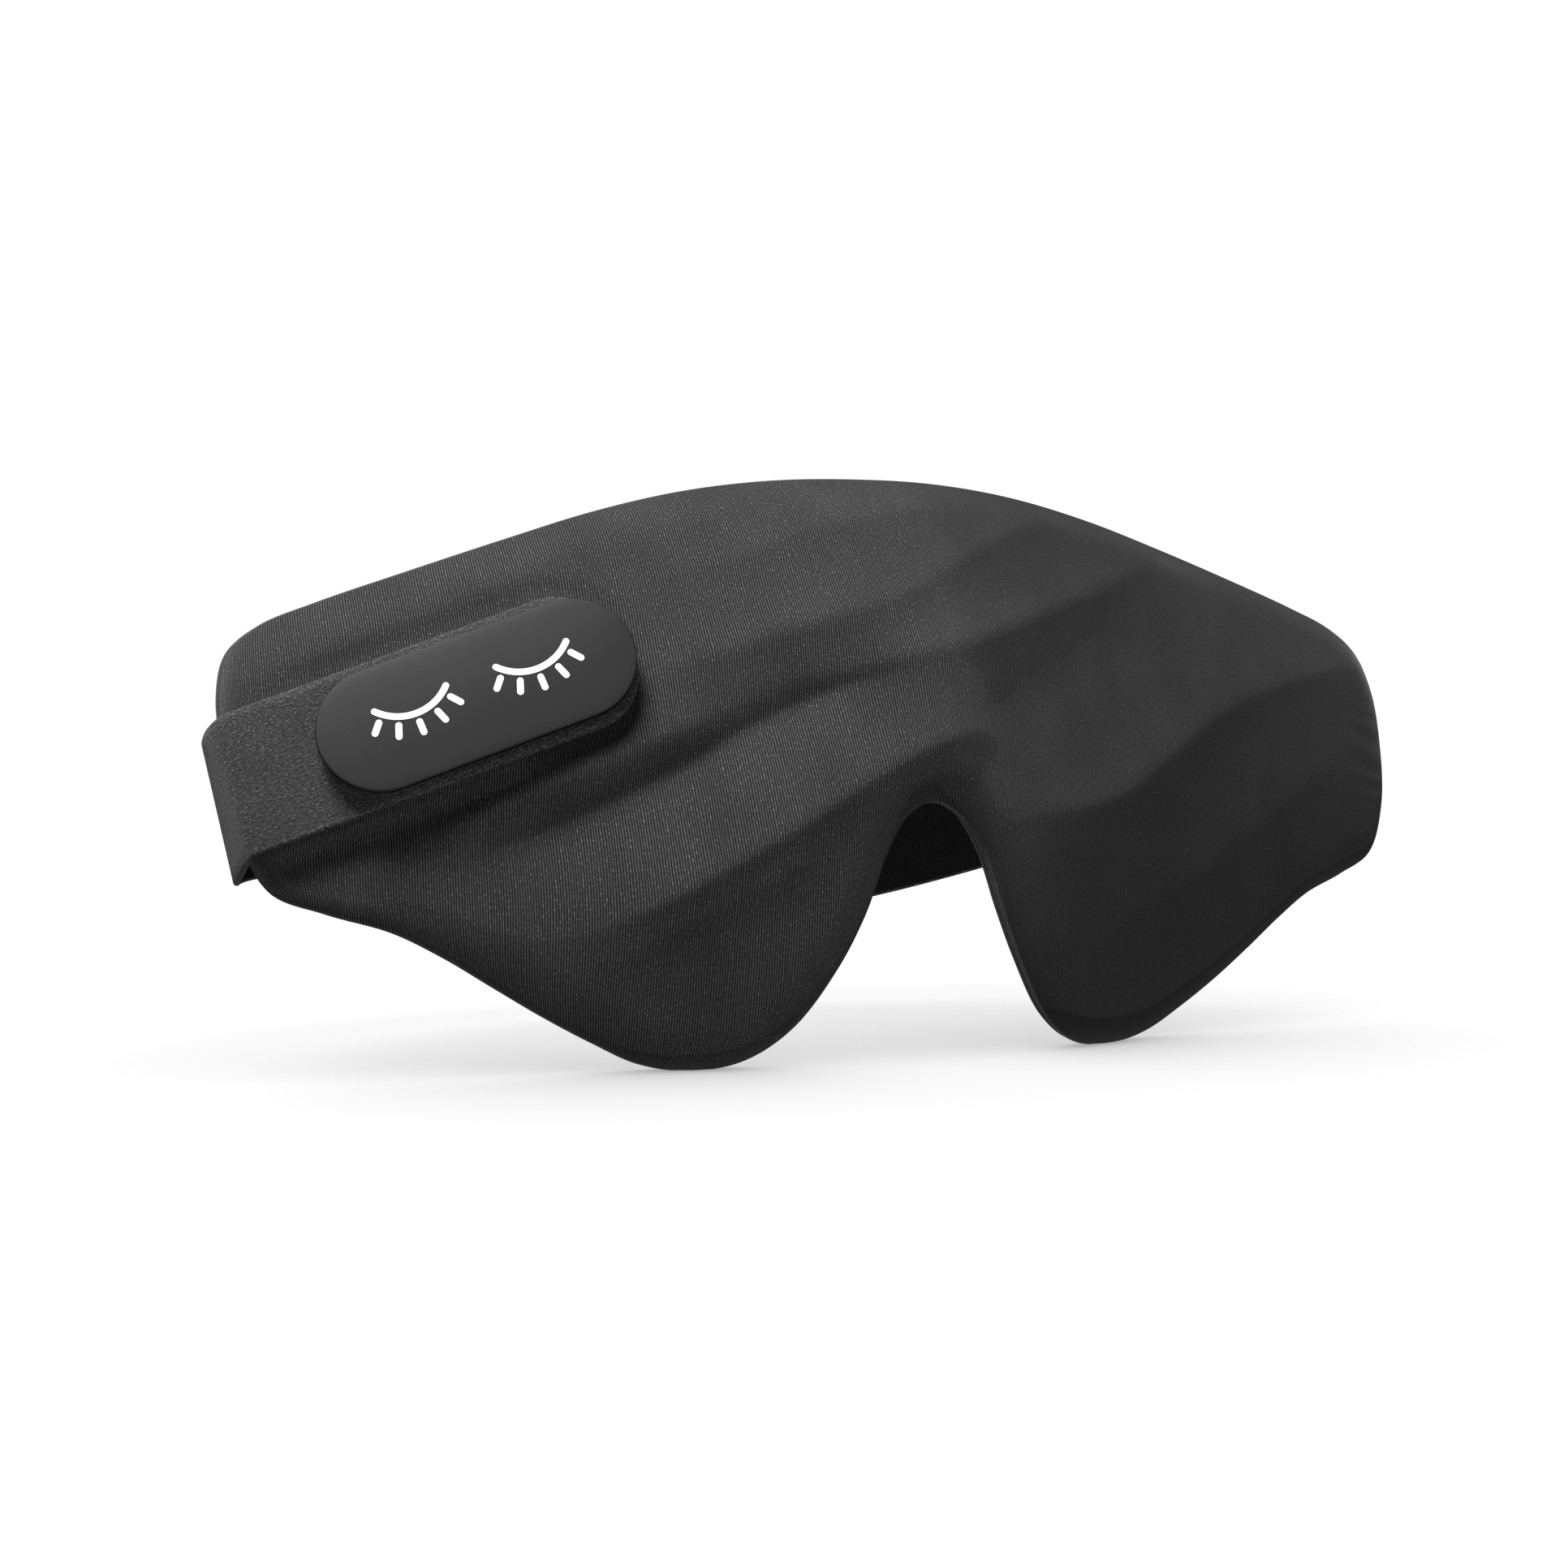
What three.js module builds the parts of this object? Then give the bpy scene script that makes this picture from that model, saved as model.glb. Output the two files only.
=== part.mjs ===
// Contoured sleep eye mask with an elastic head strap that ends in a hook-and-loop tab.
// Millimetres. +X is across the face, +Y is towards the head, +Z is up.
// The mask stands on its two cheek lobes, with its front face towards -Y.
import * as THREE from 'three';

// ---- Driving dimensions ----
const HALF_WIDTH = 112.6; // front view, centre line to end
const PAD_THICKNESS = 10; // whole pad, front face to back face
const EDGE_DEPTH = PAD_THICKNESS / 2; // depth at which front and back fabrics meet
const EDGE_ROUND = 8; // width of the rolled border
const FABRIC = 0.9; // knit face and lining
const GAP = 0.3; // clearance between touching pieces
const SEAM_RADIUS = 0.45; // welded cord between face and lining

const PLAN_RISE = 16.6; // the plan curve is a hyperbola: straight at the ends, round at the nose
const PLAN_HALF = 43.2;
const LEAN_CENTRE = 31.5; // height where the front face is furthest forward
const LEAN = 0.0063; // backward lean, per millimetre squared

const STRAP_THICKNESS = 1.2;
const STRAP_HALF = 12; // half of the 24 mm elastic
const LEFT_Z = 44.8; // strap centre height at the tab end
const RIGHT_Z = 50; // strap centre height at the sewn end
const LOOP_HALF_X = 113.3; // the loop is part of an ellipse in plan
const LOOP_FLARE = 2.6; // its upper edge runs wider than its middle, its lower edge narrower
const LOOP_HALF_Y = 79;
const LOOP_CENTRE_Y = 25;
const LOOP_START_Y = 33;
const LOOP_DROOP = 14.6;
const DROOP_POWER = 1.5;
const PIVOT_Y = 66; // the loop tilts about a line across the mask at this depth
const PIVOT_CLEARANCE = 0.6;
const TILT_CLEARANCE = 6.5; // keeps the corners apart when the loop tilts

const TAB_ANGLE = THREE.MathUtils.degToRad(20);
const TAB_ROOT = new THREE.Vector2(-114.6, 47.7); // front view
const TAB_HALF = 11.2;
const TAB_LENGTH = 69.3;
const TAB_DEPTH = -2.6; // outer face of the tab, measured from the front face
const BEND_ALONG = 2.9; // where the tab starts, on its centre line
const BEND_SKEW = 0.23; // the bend line is not square to the tab

const PATCH_THICKNESS = 0.8;
const BADGE_LENGTH = 54;
const BADGE_WIDTH = 21;
const BADGE_THICKNESS = 1.5;
const BADGE_CENTRE_ALONG = 42.2;
const BADGE_CLEARANCE = 1.1; // from the tab's outer face to the back of the badge, at its centre
const BACKING_THICKNESS = 0.5;

const EYE_X = 34; // centre of each eye hollow, front view
const EYE_Z = 56;
const EYE_HALF_WIDTH = 27;
const EYE_HALF_HEIGHT = 20;
const EYE_DEPTH = 5.6;

// ---- Materials ----
const paint = (color, roughness, metalness = 0) =>
  new THREE.MeshStandardMaterial({ color, roughness, metalness });
const knit = () => paint(0x3c3c3e, 0.85);
const lining = () => paint(0x2c2c2e, 0.9);
const foam = () => paint(0x77777a, 0.95);
const elastic = () => paint(0x38383a, 0.95);
const thread = () => paint(0x1f1f21, 0.8);

// ---- Outline of the pad in the front view ----
// One half, from the top centre round the end to the top of the nose notch.
const HALF_OUTLINE = [
  [0, 100.6], [16, 100.1], [32, 98.1], [48, 94.4], [64, 89.4], [80, 84.1], [96, 78.6], [105, 74.9],
  [110.4, 70.4], [112.6, 63], [112.2, 52], [110.6, 40.5], [106.4, 31.6], [98, 28], [88, 24.8],
  [80, 20.5], [72, 15.3], [64, 10.2], [56, 5.6], [48, 1.5], [39, -0.6], [31, 1.8], [24, 7.2],
  [17.4, 17], [13, 26], [9, 36.4], [5, 42.4], [0, 44.6],
];

// The closed outline as a smooth curve, flat where the lobes rest.
function outlinePoints(count = 300) {
  const mirrored = HALF_OUTLINE.slice(1, -1).reverse().map(([x, z]) => [-x, z]);
  const points = [...HALF_OUTLINE, ...mirrored].map(([x, z]) => new THREE.Vector3(x, z, 0));
  const curve = new THREE.CatmullRomCurve3(points, true, 'centripetal');
  return curve.getSpacedPoints(count).slice(0, count).map((p) => new THREE.Vector2(p.x, Math.max(0, p.y)));
}

// The same outline moved inwards by a distance.
function insetOutline(outline, distance) {
  const count = outline.length;
  return outline.map((point, i) => {
    const tangent = outline[(i + 1) % count].clone().sub(outline[(i + count - 1) % count]).normalize();
    return new THREE.Vector2(point.x + tangent.y * distance, point.y - tangent.x * distance);
  });
}

const OUTLINE = outlinePoints();

// Distance from a point of the front view to the outline.
function edgeDistance(x, z) {
  let nearest = Infinity;
  for (let i = 0; i < OUTLINE.length; i += 1) {
    const a = OUTLINE[i];
    const b = OUTLINE[(i + 1) % OUTLINE.length];
    const dx = b.x - a.x;
    const dz = b.y - a.y;
    const t = THREE.MathUtils.clamp(((x - a.x) * dx + (z - a.y) * dz) / (dx * dx + dz * dz), 0, 1);
    nearest = Math.min(nearest, Math.hypot(x - a.x - t * dx, z - a.y - t * dz));
  }
  return nearest;
}

// Lowest and highest outline points in one column of the front view.
function columnSpan(outline, x) {
  const heights = [];
  outline.forEach((a, i) => {
    const b = outline[(i + 1) % outline.length];
    if ((a.x - x) * (b.x - x) <= 0 && a.x !== b.x) {
      heights.push(a.y + ((b.y - a.y) * (x - a.x)) / (b.x - a.x));
    }
  });
  return [Math.min(...heights), Math.max(...heights)];
}

// ---- Curved surfaces of the pad ----
// y of the front face, before its border rolls back.
function frontY(x, z) {
  const plan = PLAN_RISE * (Math.sqrt(1 + (x / PLAN_HALF) ** 2) - 1);
  return plan + LEAN * (z - LEAN_CENTRE) ** 2 - EDGE_DEPTH;
}

function atDepth(x, z, depth) {
  return new THREE.Vector3(x, frontY(x, z) + depth, z);
}

// Slanting dents pressed into the front face: start, end, depth and half width.
const DENTS = [
  { from: [-75, 39], to: [-6, 68], depth: 1.8, width: 6 },
  { from: [-59, 22.6], to: [12, 54], depth: 1.6, width: 6 },
  { from: [-56, 17], to: [-37, 27.5], depth: 0.9, width: 4 },
  { from: [25, 36], to: [76, 61], depth: 1.6, width: 6 },
  { from: [48, 24], to: [93, 45.6], depth: 1.2, width: 5 },
];

function dentDepth(x, z) {
  return DENTS.reduce((sum, { from, to, depth, width }) => {
    const dx = to[0] - from[0];
    const dz = to[1] - from[1];
    const t = THREE.MathUtils.clamp(((x - from[0]) * dx + (z - from[1]) * dz) / (dx * dx + dz * dz), 0, 1);
    const away = Math.hypot(x - from[0] - t * dx, z - from[1] - t * dz) / width;
    return sum + depth * Math.sin(Math.PI * t) * Math.exp(-away * away);
  }, 0);
}

// How far the border has rolled back towards the edge line: 0 inside, 1 at the edge.
function borderRoll(edge) {
  return THREE.MathUtils.clamp(1 - edge / EDGE_ROUND, 0, 1) ** 2;
}

const RIM_HALF_GAP = SEAM_RADIUS + GAP; // half of the slot that holds the seam cord
const RIM_ROLL = EDGE_DEPTH - RIM_HALF_GAP - FABRIC;

function frontDepth(x, z) {
  const roll = borderRoll(edgeDistance(x, z));
  return RIM_ROLL * roll + dentDepth(x, z) * (1 - roll);
}

// margin widens the hollow all round.
function eyeHollow(x, z, margin) {
  const across = (Math.abs(x) - EYE_X) / (EYE_HALF_WIDTH + margin);
  const away = Math.hypot(across, (z - EYE_Z) / (EYE_HALF_HEIGHT + margin));
  return EYE_DEPTH * (1 - THREE.MathUtils.smoothstep(away, 0.5, 1));
}

function backDepth(x, z, margin = 0) {
  const rolled = PAD_THICKNESS - RIM_ROLL * borderRoll(edgeDistance(x, z));
  return rolled - eyeHollow(x, z, margin);
}

// ---- Closed solids between two grids of points ----
// near(i, j) and far(i, j) give the two faces; the rim closes them.
function solidBetween(columns, rows, near, far) {
  const positions = [];
  const index = [];
  const layer = (columns + 1) * (rows + 1);
  for (const face of [near, far]) {
    for (let i = 0; i <= columns; i += 1) {
      for (let j = 0; j <= rows; j += 1) positions.push(...face(i, j).toArray());
    }
  }
  const id = (side, i, j) => side * layer + i * (rows + 1) + j;
  const quad = (a, b, c, d) => index.push(a, b, c, a, c, d);
  for (let i = 0; i < columns; i += 1) {
    for (let j = 0; j < rows; j += 1) {
      quad(id(0, i, j), id(0, i + 1, j), id(0, i + 1, j + 1), id(0, i, j + 1));
      quad(id(1, i, j), id(1, i, j + 1), id(1, i + 1, j + 1), id(1, i + 1, j));
    }
    quad(id(0, i, 0), id(1, i, 0), id(1, i + 1, 0), id(0, i + 1, 0));
    quad(id(0, i, rows), id(0, i + 1, rows), id(1, i + 1, rows), id(1, i, rows));
  }
  for (let j = 0; j < rows; j += 1) {
    quad(id(0, 0, j), id(0, 0, j + 1), id(1, 0, j + 1), id(1, 0, j));
    quad(id(0, columns, j), id(1, columns, j), id(1, columns, j + 1), id(0, columns, j + 1));
  }
  return outward(positions, index);
}

// Turns every face outwards, from the sign of the enclosed volume.
function outward(positions, index) {
  const corner = (k) => new THREE.Vector3().fromArray(positions, 3 * k);
  let volume = 0;
  for (let k = 0; k < index.length; k += 3) {
    volume += corner(index[k]).dot(corner(index[k + 1]).cross(corner(index[k + 2])));
  }
  if (volume < 0) index.reverse();
  const geometry = new THREE.BufferGeometry();
  geometry.setAttribute('position', new THREE.Float32BufferAttribute(positions, 3));
  geometry.setIndex(index);
  geometry.computeVertexNormals();
  return geometry;
}

// A round cord swept along a closed row of points in the front view.
function closedCord(path, radius, sides) {
  const positions = [];
  const index = [];
  path.forEach((point, i) => {
    const next = path[(i + 1) % path.length];
    const last = path[(i + path.length - 1) % path.length];
    const side = next.clone().sub(last).normalize().cross(new THREE.Vector3(0, 1, 0)).normalize();
    for (let k = 0; k < sides; k += 1) {
      const angle = (2 * Math.PI * k) / sides;
      const offset = side.clone().multiplyScalar(radius * Math.cos(angle));
      offset.y += radius * Math.sin(angle);
      positions.push(...point.clone().add(offset).toArray());
      const a = i * sides + k;
      const b = i * sides + ((k + 1) % sides);
      const c = ((i + 1) % path.length) * sides + k;
      const d = ((i + 1) % path.length) * sides + ((k + 1) % sides);
      index.push(a, b, d, a, d, c);
    }
  });
  return outward(positions, index);
}

// ---- Pad: face fabric, foam core, lining and edge seam ----
const NOTCH_ZONE = 20; // finer columns beside the nose
const NOTCH_STEP = 1.6;
const PANEL_STEP = 5;
const FOOT_START = 37.2; // one column starts here and the next ends the flat under each lobe
const END_ZONE = 97.5; // columns close up towards the ends

function padColumns(halfWidth) {
  const half = [];
  for (let x = 0; x < NOTCH_ZONE; x += NOTCH_STEP) half.push(x);
  for (let x = FOOT_START - 3 * PANEL_STEP; x < END_ZONE; x += PANEL_STEP) half.push(x);
  const steps = 6;
  for (let k = 0; k <= steps; k += 1) {
    half.push(END_ZONE + (halfWidth - END_ZONE) * Math.sin((Math.PI / 2) * (k / steps)));
  }
  return [...half.slice(1).reverse().map((x) => -x), ...half];
}

function padLayer(inset, nearDepth, farDepth) {
  const rows = 12;
  const outline = insetOutline(OUTLINE, inset);
  const columns = padColumns(HALF_WIDTH - inset - 0.15);
  const spans = columns.map((x) => columnSpan(outline, x));
  const heightAt = (i, j) => {
    const [low, high] = spans[i];
    return low + ((high - low) * (1 - Math.cos((Math.PI * j) / rows))) / 2;
  };
  const face = (depth) => (i, j) => {
    const z = heightAt(i, j);
    return atDepth(columns[i], z, depth(columns[i], z));
  };
  return solidBetween(columns.length - 1, rows, face(nearDepth), face(farDepth));
}

const CORE_INSET = 1.8;
const CORE_CLEARANCE = FABRIC + 2 * GAP;
const CORE_HOLLOW_MARGIN = 1.5; // keeps the foam clear of the lining's flanks

const faceFabric = () => padLayer(0, frontDepth, (x, z) => frontDepth(x, z) + FABRIC);
const liningFabric = () => padLayer(0, (x, z) => backDepth(x, z) - FABRIC, (x, z) => backDepth(x, z));

function coreFoam() {
  const near = (x, z) => frontDepth(x, z) + CORE_CLEARANCE;
  const far = (x, z) => backDepth(x, z, CORE_HOLLOW_MARGIN) - CORE_CLEARANCE;
  return padLayer(CORE_INSET, near, far);
}

function edgeSeam() {
  const path = insetOutline(OUTLINE, SEAM_RADIUS)
    .filter((_, i) => i % 2 === 0)
    .map((p) => atDepth(p.x, p.y, EDGE_DEPTH));
  return closedCord(path, SEAM_RADIUS, 6);
}

// ---- Hook-and-loop tab and the badge on it ----
// Point of the tab: distance along it, distance across it, depth from the front face.
function tabPoint(along, across, depth) {
  const x = TAB_ROOT.x + along * Math.cos(TAB_ANGLE) - across * Math.sin(TAB_ANGLE);
  const z = TAB_ROOT.y + along * Math.sin(TAB_ANGLE) + across * Math.cos(TAB_ANGLE);
  return atDepth(x, z, depth);
}

// A strip on the tab with a round free end and a start that follows the bend line.
function tabStrip(start, end, half, outerDepth, thickness) {
  const columns = 26;
  const rows = 4;
  const straight = end - half;
  const face = (depth) => (i, j) => {
    const t = i / columns;
    const station = start + (end - start) * Math.sin((Math.PI / 2) * t);
    const beyond = Math.max(0, station - straight);
    const width = Math.sqrt(Math.max(0.2, half * half - beyond * beyond));
    const across = width * (2 * (j / rows) - 1);
    return tabPoint(station + BEND_SKEW * across * (1 - t), across, depth);
  };
  return solidBetween(columns, rows, face(outerDepth), face(outerDepth + thickness));
}

const strapTab = () => tabStrip(BEND_ALONG, TAB_LENGTH, TAB_HALF, TAB_DEPTH, STRAP_THICKNESS);
const hookPatch = () =>
  tabStrip(BEND_ALONG + 14, TAB_LENGTH - 2, TAB_HALF - 1.2, -GAP - PATCH_THICKNESS, PATCH_THICKNESS);

// Local frame of the badge: flat, tangent to the tab at its centre.
function badgeFrame() {
  const step = 0.5;
  const centre = tabPoint(BADGE_CENTRE_ALONG, 0, TAB_DEPTH);
  const along = tabPoint(BADGE_CENTRE_ALONG + step, 0, TAB_DEPTH).sub(centre).normalize();
  const across = tabPoint(BADGE_CENTRE_ALONG, step, TAB_DEPTH).sub(centre);
  const out = along.clone().cross(across).normalize();
  const up = out.clone().cross(along).normalize();
  return new THREE.Matrix4().makeBasis(along, up, out).setPosition(centre);
}

function stadium(length, width) {
  const radius = width / 2;
  const reach = length / 2 - radius;
  const shape = new THREE.Shape();
  shape.absarc(reach, 0, radius, -Math.PI / 2, Math.PI / 2, false);
  shape.absarc(-reach, 0, radius, Math.PI / 2, (3 * Math.PI) / 2, false);
  return shape;
}

function badgePlate() {
  const bevel = 0.35;
  const shape = stadium(BADGE_LENGTH - 2 * bevel, BADGE_WIDTH - 2 * bevel);
  const geometry = new THREE.ExtrudeGeometry(shape, {
    depth: BADGE_THICKNESS - 2 * bevel,
    bevelSize: bevel,
    bevelThickness: bevel,
    bevelSegments: 2,
    curveSegments: 16,
  });
  geometry.translate(0, 0, BADGE_CLEARANCE + bevel);
  return geometry;
}

function badgeBacking() {
  const shape = stadium(BADGE_LENGTH - 6, BADGE_WIDTH - 6);
  const geometry = new THREE.ExtrudeGeometry(shape, {
    depth: BACKING_THICKNESS,
    bevelEnabled: false,
    curveSegments: 10,
  });
  geometry.translate(0, 0, BADGE_CLEARANCE - GAP - BACKING_THICKNESS);
  return geometry;
}

// ---- Strap: fold round the tab end, loop behind the head, sewn end ----
// A ribbon from its middle surface: middle(t, across) is a point, t and across run 0..1 and -1..1.
function ribbon(columns, rows, thickness, middle) {
  const step = 1e-3;
  const face = (side) => (i, j) => {
    const t = i / columns;
    const across = 2 * (j / rows) - 1;
    const point = middle(t, across);
    const along = middle(Math.min(1, t + step), across).sub(middle(Math.max(0, t - step), across));
    const wide = middle(t, across + step).sub(middle(t, across - step));
    const normal = along.cross(wide).normalize();
    return point.addScaledVector(normal, (side * thickness) / 2);
  };
  return solidBetween(columns, rows, face(1), face(-1));
}

const PIVOT_PHI = Math.asin((PIVOT_Y - LOOP_CENTRE_Y) / LOOP_HALF_Y);
const LEFT = -1;
const RIGHT = 1;
const BEND_SHARE = 0.45; // share of a fixed leg's length that is its bend

// Middle surface of the loop at an angle round its ellipse: 0 is the left, PI the right.
// It is level up to the pivot line and droops beyond it.
function loopPoint(phi, across) {
  const share = THREE.MathUtils.clamp((phi - PIVOT_PHI) / (Math.PI - 2 * PIVOT_PHI), 0, 1);
  const droop = LOOP_DROOP * Math.sin(Math.PI * share) ** DROOP_POWER;
  const z = LEFT_Z + (RIGHT_Z - LEFT_Z) * share - droop + across * STRAP_HALF;
  const halfX = LOOP_HALF_X + LOOP_FLARE * across;
  return new THREE.Vector3(-halfX * Math.cos(phi), LOOP_CENTRE_Y + LOOP_HALF_Y * Math.sin(phi), z);
}

// Angle at which the loop passes a depth y, on the left or the right.
function loopAngle(y, side) {
  const phi = Math.asin((y - LOOP_CENTRE_Y) / LOOP_HALF_Y);
  return side === LEFT ? phi : Math.PI - phi;
}

// The band's ends are round about the pivot line and the fixed legs hollow, so the band can tilt.
const bandEndY = (across) => PIVOT_Y - STRAP_HALF * Math.sqrt(Math.max(0, 1 - across * across));

function legEndY(across) {
  const radius = STRAP_HALF + PIVOT_CLEARANCE;
  const hollow = Math.sqrt(radius * radius - (across * STRAP_HALF) ** 2);
  return PIVOT_Y - Math.max(TILT_CLEARANCE, hollow);
}

// Rounded bend from a start point and tangent to the loop, then along the loop to the leg's end.
function legPoint(t, across, start, tangent, joinY, side) {
  if (t > BEND_SHARE) {
    const u = (t - BEND_SHARE) / (1 - BEND_SHARE);
    const y = joinY + (legEndY(across) - joinY) * u;
    return loopPoint(loopAngle(y, side), across);
  }
  const join = loopPoint(loopAngle(joinY, side), across);
  const ahead = loopPoint(loopAngle(joinY + 1, side), across).sub(join);
  const turn = tangent.x * ahead.y - tangent.y * ahead.x;
  const reach = ((join.x - start.x) * ahead.y - (join.y - start.y) * ahead.x) / turn;
  const corner = start.clone().addScaledVector(tangent, reach);
  corner.z = (start.z + join.z) / 2;
  return new THREE.QuadraticBezierCurve3(start, corner, join).getPoint(t / BEND_SHARE);
}

function strapFold() {
  const middle = (t, across) => {
    const wide = across * TAB_HALF;
    const along = BEND_ALONG - 1.5 * GAP + BEND_SKEW * wide;
    const depth = TAB_DEPTH + STRAP_THICKNESS / 2;
    const start = tabPoint(along, wide, depth);
    const tangent = start.clone().sub(tabPoint(along + 1, wide, depth));
    return legPoint(t, across, start, tangent, LOOP_START_Y, LEFT);
  };
  return ribbon(24, 6, STRAP_THICKNESS, middle);
}

const SEWN_START_X = 95;
const SEWN_LEAVES_X = 106;
const SEWN_JOIN_Y = 51;
const SEWN_SHARE = 0.3; // share of the end's length that lies on the lining

function strapEnd() {
  const depth = PAD_THICKNESS + GAP + STRAP_THICKNESS / 2;
  const middle = (t, across) => {
    const z = RIGHT_Z + across * STRAP_HALF;
    const onLining = (x) => atDepth(x, z, depth);
    if (t < SEWN_SHARE) {
      return onLining(SEWN_START_X + ((SEWN_LEAVES_X - SEWN_START_X) * t) / SEWN_SHARE);
    }
    const start = onLining(SEWN_LEAVES_X);
    const tangent = start.clone().sub(onLining(SEWN_LEAVES_X - 1));
    return legPoint((t - SEWN_SHARE) / (1 - SEWN_SHARE), across, start, tangent, SEWN_JOIN_Y, RIGHT);
  };
  return ribbon(30, 6, STRAP_THICKNESS, middle);
}

function strapBand() {
  const middle = (t, across) => {
    const first = loopAngle(bandEndY(across), LEFT);
    const last = loopAngle(bandEndY(across), RIGHT);
    return loopPoint(first + (last - first) * t, across);
  };
  return ribbon(72, 6, STRAP_THICKNESS, middle);
}

// Two rows of zigzag thread hold the sewn end, each as one flat bar.
function anchorStitch(x) {
  const half = STRAP_HALF - 1.5;
  const width = 1.2;
  const rise = 0.5;
  const base = PAD_THICKNESS + 2 * GAP + STRAP_THICKNESS;
  const point = (depth) => (i, j) => {
    const z = RIGHT_Z + half * (2 * (i / 10) - 1);
    return atDepth(x + width * (j - 0.5), z, base + depth);
  };
  return solidBetween(10, 1, point(0), point(rise));
}

// ---- Assembly ----
const mask = new THREE.Group();

function addPart(name, geometry, material) {
  const mesh = new THREE.Mesh(geometry, material);
  mesh.name = name;
  mask.add(mesh);
  return mesh;
}

addPart('face_fabric', faceFabric(), knit());
addPart('core_foam', coreFoam(), foam());
addPart('lining_fabric', liningFabric(), lining());
addPart('edge_seam', edgeSeam(), thread());
addPart('strap_tab', strapTab(), elastic());
addPart('hook_patch', hookPatch(), paint(0x1a1a1c, 0.9));
addPart('badge_plate', badgePlate().applyMatrix4(badgeFrame()), paint(0x565658, 0.45));
addPart('badge_backing', badgeBacking().applyMatrix4(badgeFrame()), paint(0x101012, 0.9));
addPart('strap_fold', strapFold(), elastic());
addPart('strap_band', strapBand(), elastic());
addPart('strap_end', strapEnd(), elastic());
addPart('anchor_stitch_inner', anchorStitch(SEWN_START_X + 2.5), thread());
addPart('anchor_stitch_outer', anchorStitch(SEWN_START_X + 8.5), thread());

// The origin is the middle of the footprint, at the level it stands on.
const box = new THREE.Box3().setFromObject(mask);
const centre = box.getCenter(new THREE.Vector3());
mask.position.set(-centre.x, -centre.y, -box.min.z);
mask.updateMatrixWorld(true);

export default mask;
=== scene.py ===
# Sleep eye mask: fabrics, foam, strap, badge and studio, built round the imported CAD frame.
# Shapes are worked out in millimetres in the mask's own frame, and placed by to_world().
import math

import bpy
import numpy as np
from mathutils import Matrix, Vector
from mathutils.geometry import delaunay_2d_cdt


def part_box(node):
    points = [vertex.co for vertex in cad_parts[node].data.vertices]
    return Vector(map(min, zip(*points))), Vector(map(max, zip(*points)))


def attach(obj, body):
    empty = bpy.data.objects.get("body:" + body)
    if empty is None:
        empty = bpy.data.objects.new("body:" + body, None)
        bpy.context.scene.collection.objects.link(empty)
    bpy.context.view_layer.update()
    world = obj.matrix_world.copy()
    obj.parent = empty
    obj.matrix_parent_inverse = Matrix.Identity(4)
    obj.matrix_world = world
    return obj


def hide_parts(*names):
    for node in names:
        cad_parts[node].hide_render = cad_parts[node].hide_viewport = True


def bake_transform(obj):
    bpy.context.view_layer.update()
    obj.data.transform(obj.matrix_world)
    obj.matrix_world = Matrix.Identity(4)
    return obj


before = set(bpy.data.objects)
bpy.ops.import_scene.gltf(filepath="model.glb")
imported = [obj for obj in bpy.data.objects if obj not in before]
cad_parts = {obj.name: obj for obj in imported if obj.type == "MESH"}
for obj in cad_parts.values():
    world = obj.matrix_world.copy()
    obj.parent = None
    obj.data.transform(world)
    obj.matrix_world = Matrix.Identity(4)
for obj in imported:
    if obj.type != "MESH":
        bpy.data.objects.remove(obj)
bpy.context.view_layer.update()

MM = 0.001

# ---- Dimensions shared with the CAD model ----
PAD_THICKNESS = 10.0
EDGE_DEPTH = PAD_THICKNESS / 2
PLAN_RISE = 16.6
PLAN_HALF = 43.2
LEAN_CENTRE = 31.5
LEAN = 0.0063
STRAP_THICKNESS = 1.2
STRAP_HALF = 12.0
LEFT_Z = 44.8
RIGHT_Z = 50.0
LOOP_HALF_X = 113.3
LOOP_FLARE = 2.6
LOOP_HALF_Y = 79.0
LOOP_CENTRE_Y = 25.0
LOOP_START_Y = 33.0
DROOP_POWER = 1.5
PIVOT_Y = 66.0
SEWN_START_X = 95.0
SEWN_LEAVES_X = 106.0
SEWN_JOIN_Y = 51.0
TAB_ANGLE = math.radians(20)
TAB_ROOT = np.array([-114.6, 47.7])
TAB_HALF = 11.2
TAB_LENGTH = 69.3
TAB_DEPTH = -2.6
BEND_ALONG = 2.9
BEND_SKEW = 0.23
BADGE_LENGTH = 54.0
BADGE_WIDTH = 21.0
BADGE_THICKNESS = 1.5
BADGE_CENTRE_ALONG = 42.2
BADGE_CLEARANCE = 1.1
EYE_X = 34.0
EYE_Z = 56.0
EYE_HALF_WIDTH = 27.0
EYE_HALF_HEIGHT = 20.0
EYE_DEPTH = 5.6

# One half of the pad's outline in the front view, from the top centre round to the nose notch.
HALF_OUTLINE = [
    (0, 100.6), (16, 100.1), (32, 98.1), (48, 94.4), (64, 89.4), (80, 84.1), (96, 78.6), (105, 74.9),
    (110.4, 70.4), (112.6, 63), (112.2, 52), (110.6, 40.5), (106.4, 31.6), (98, 28), (88, 24.8),
    (80, 20.5), (72, 15.3), (64, 10.2), (56, 5.6), (48, 1.5), (39, -0.6), (31, 1.8), (24, 7.2),
    (17.4, 17), (13, 26), (9, 36.4), (5, 42.4), (0, 44.6),
]

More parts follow.
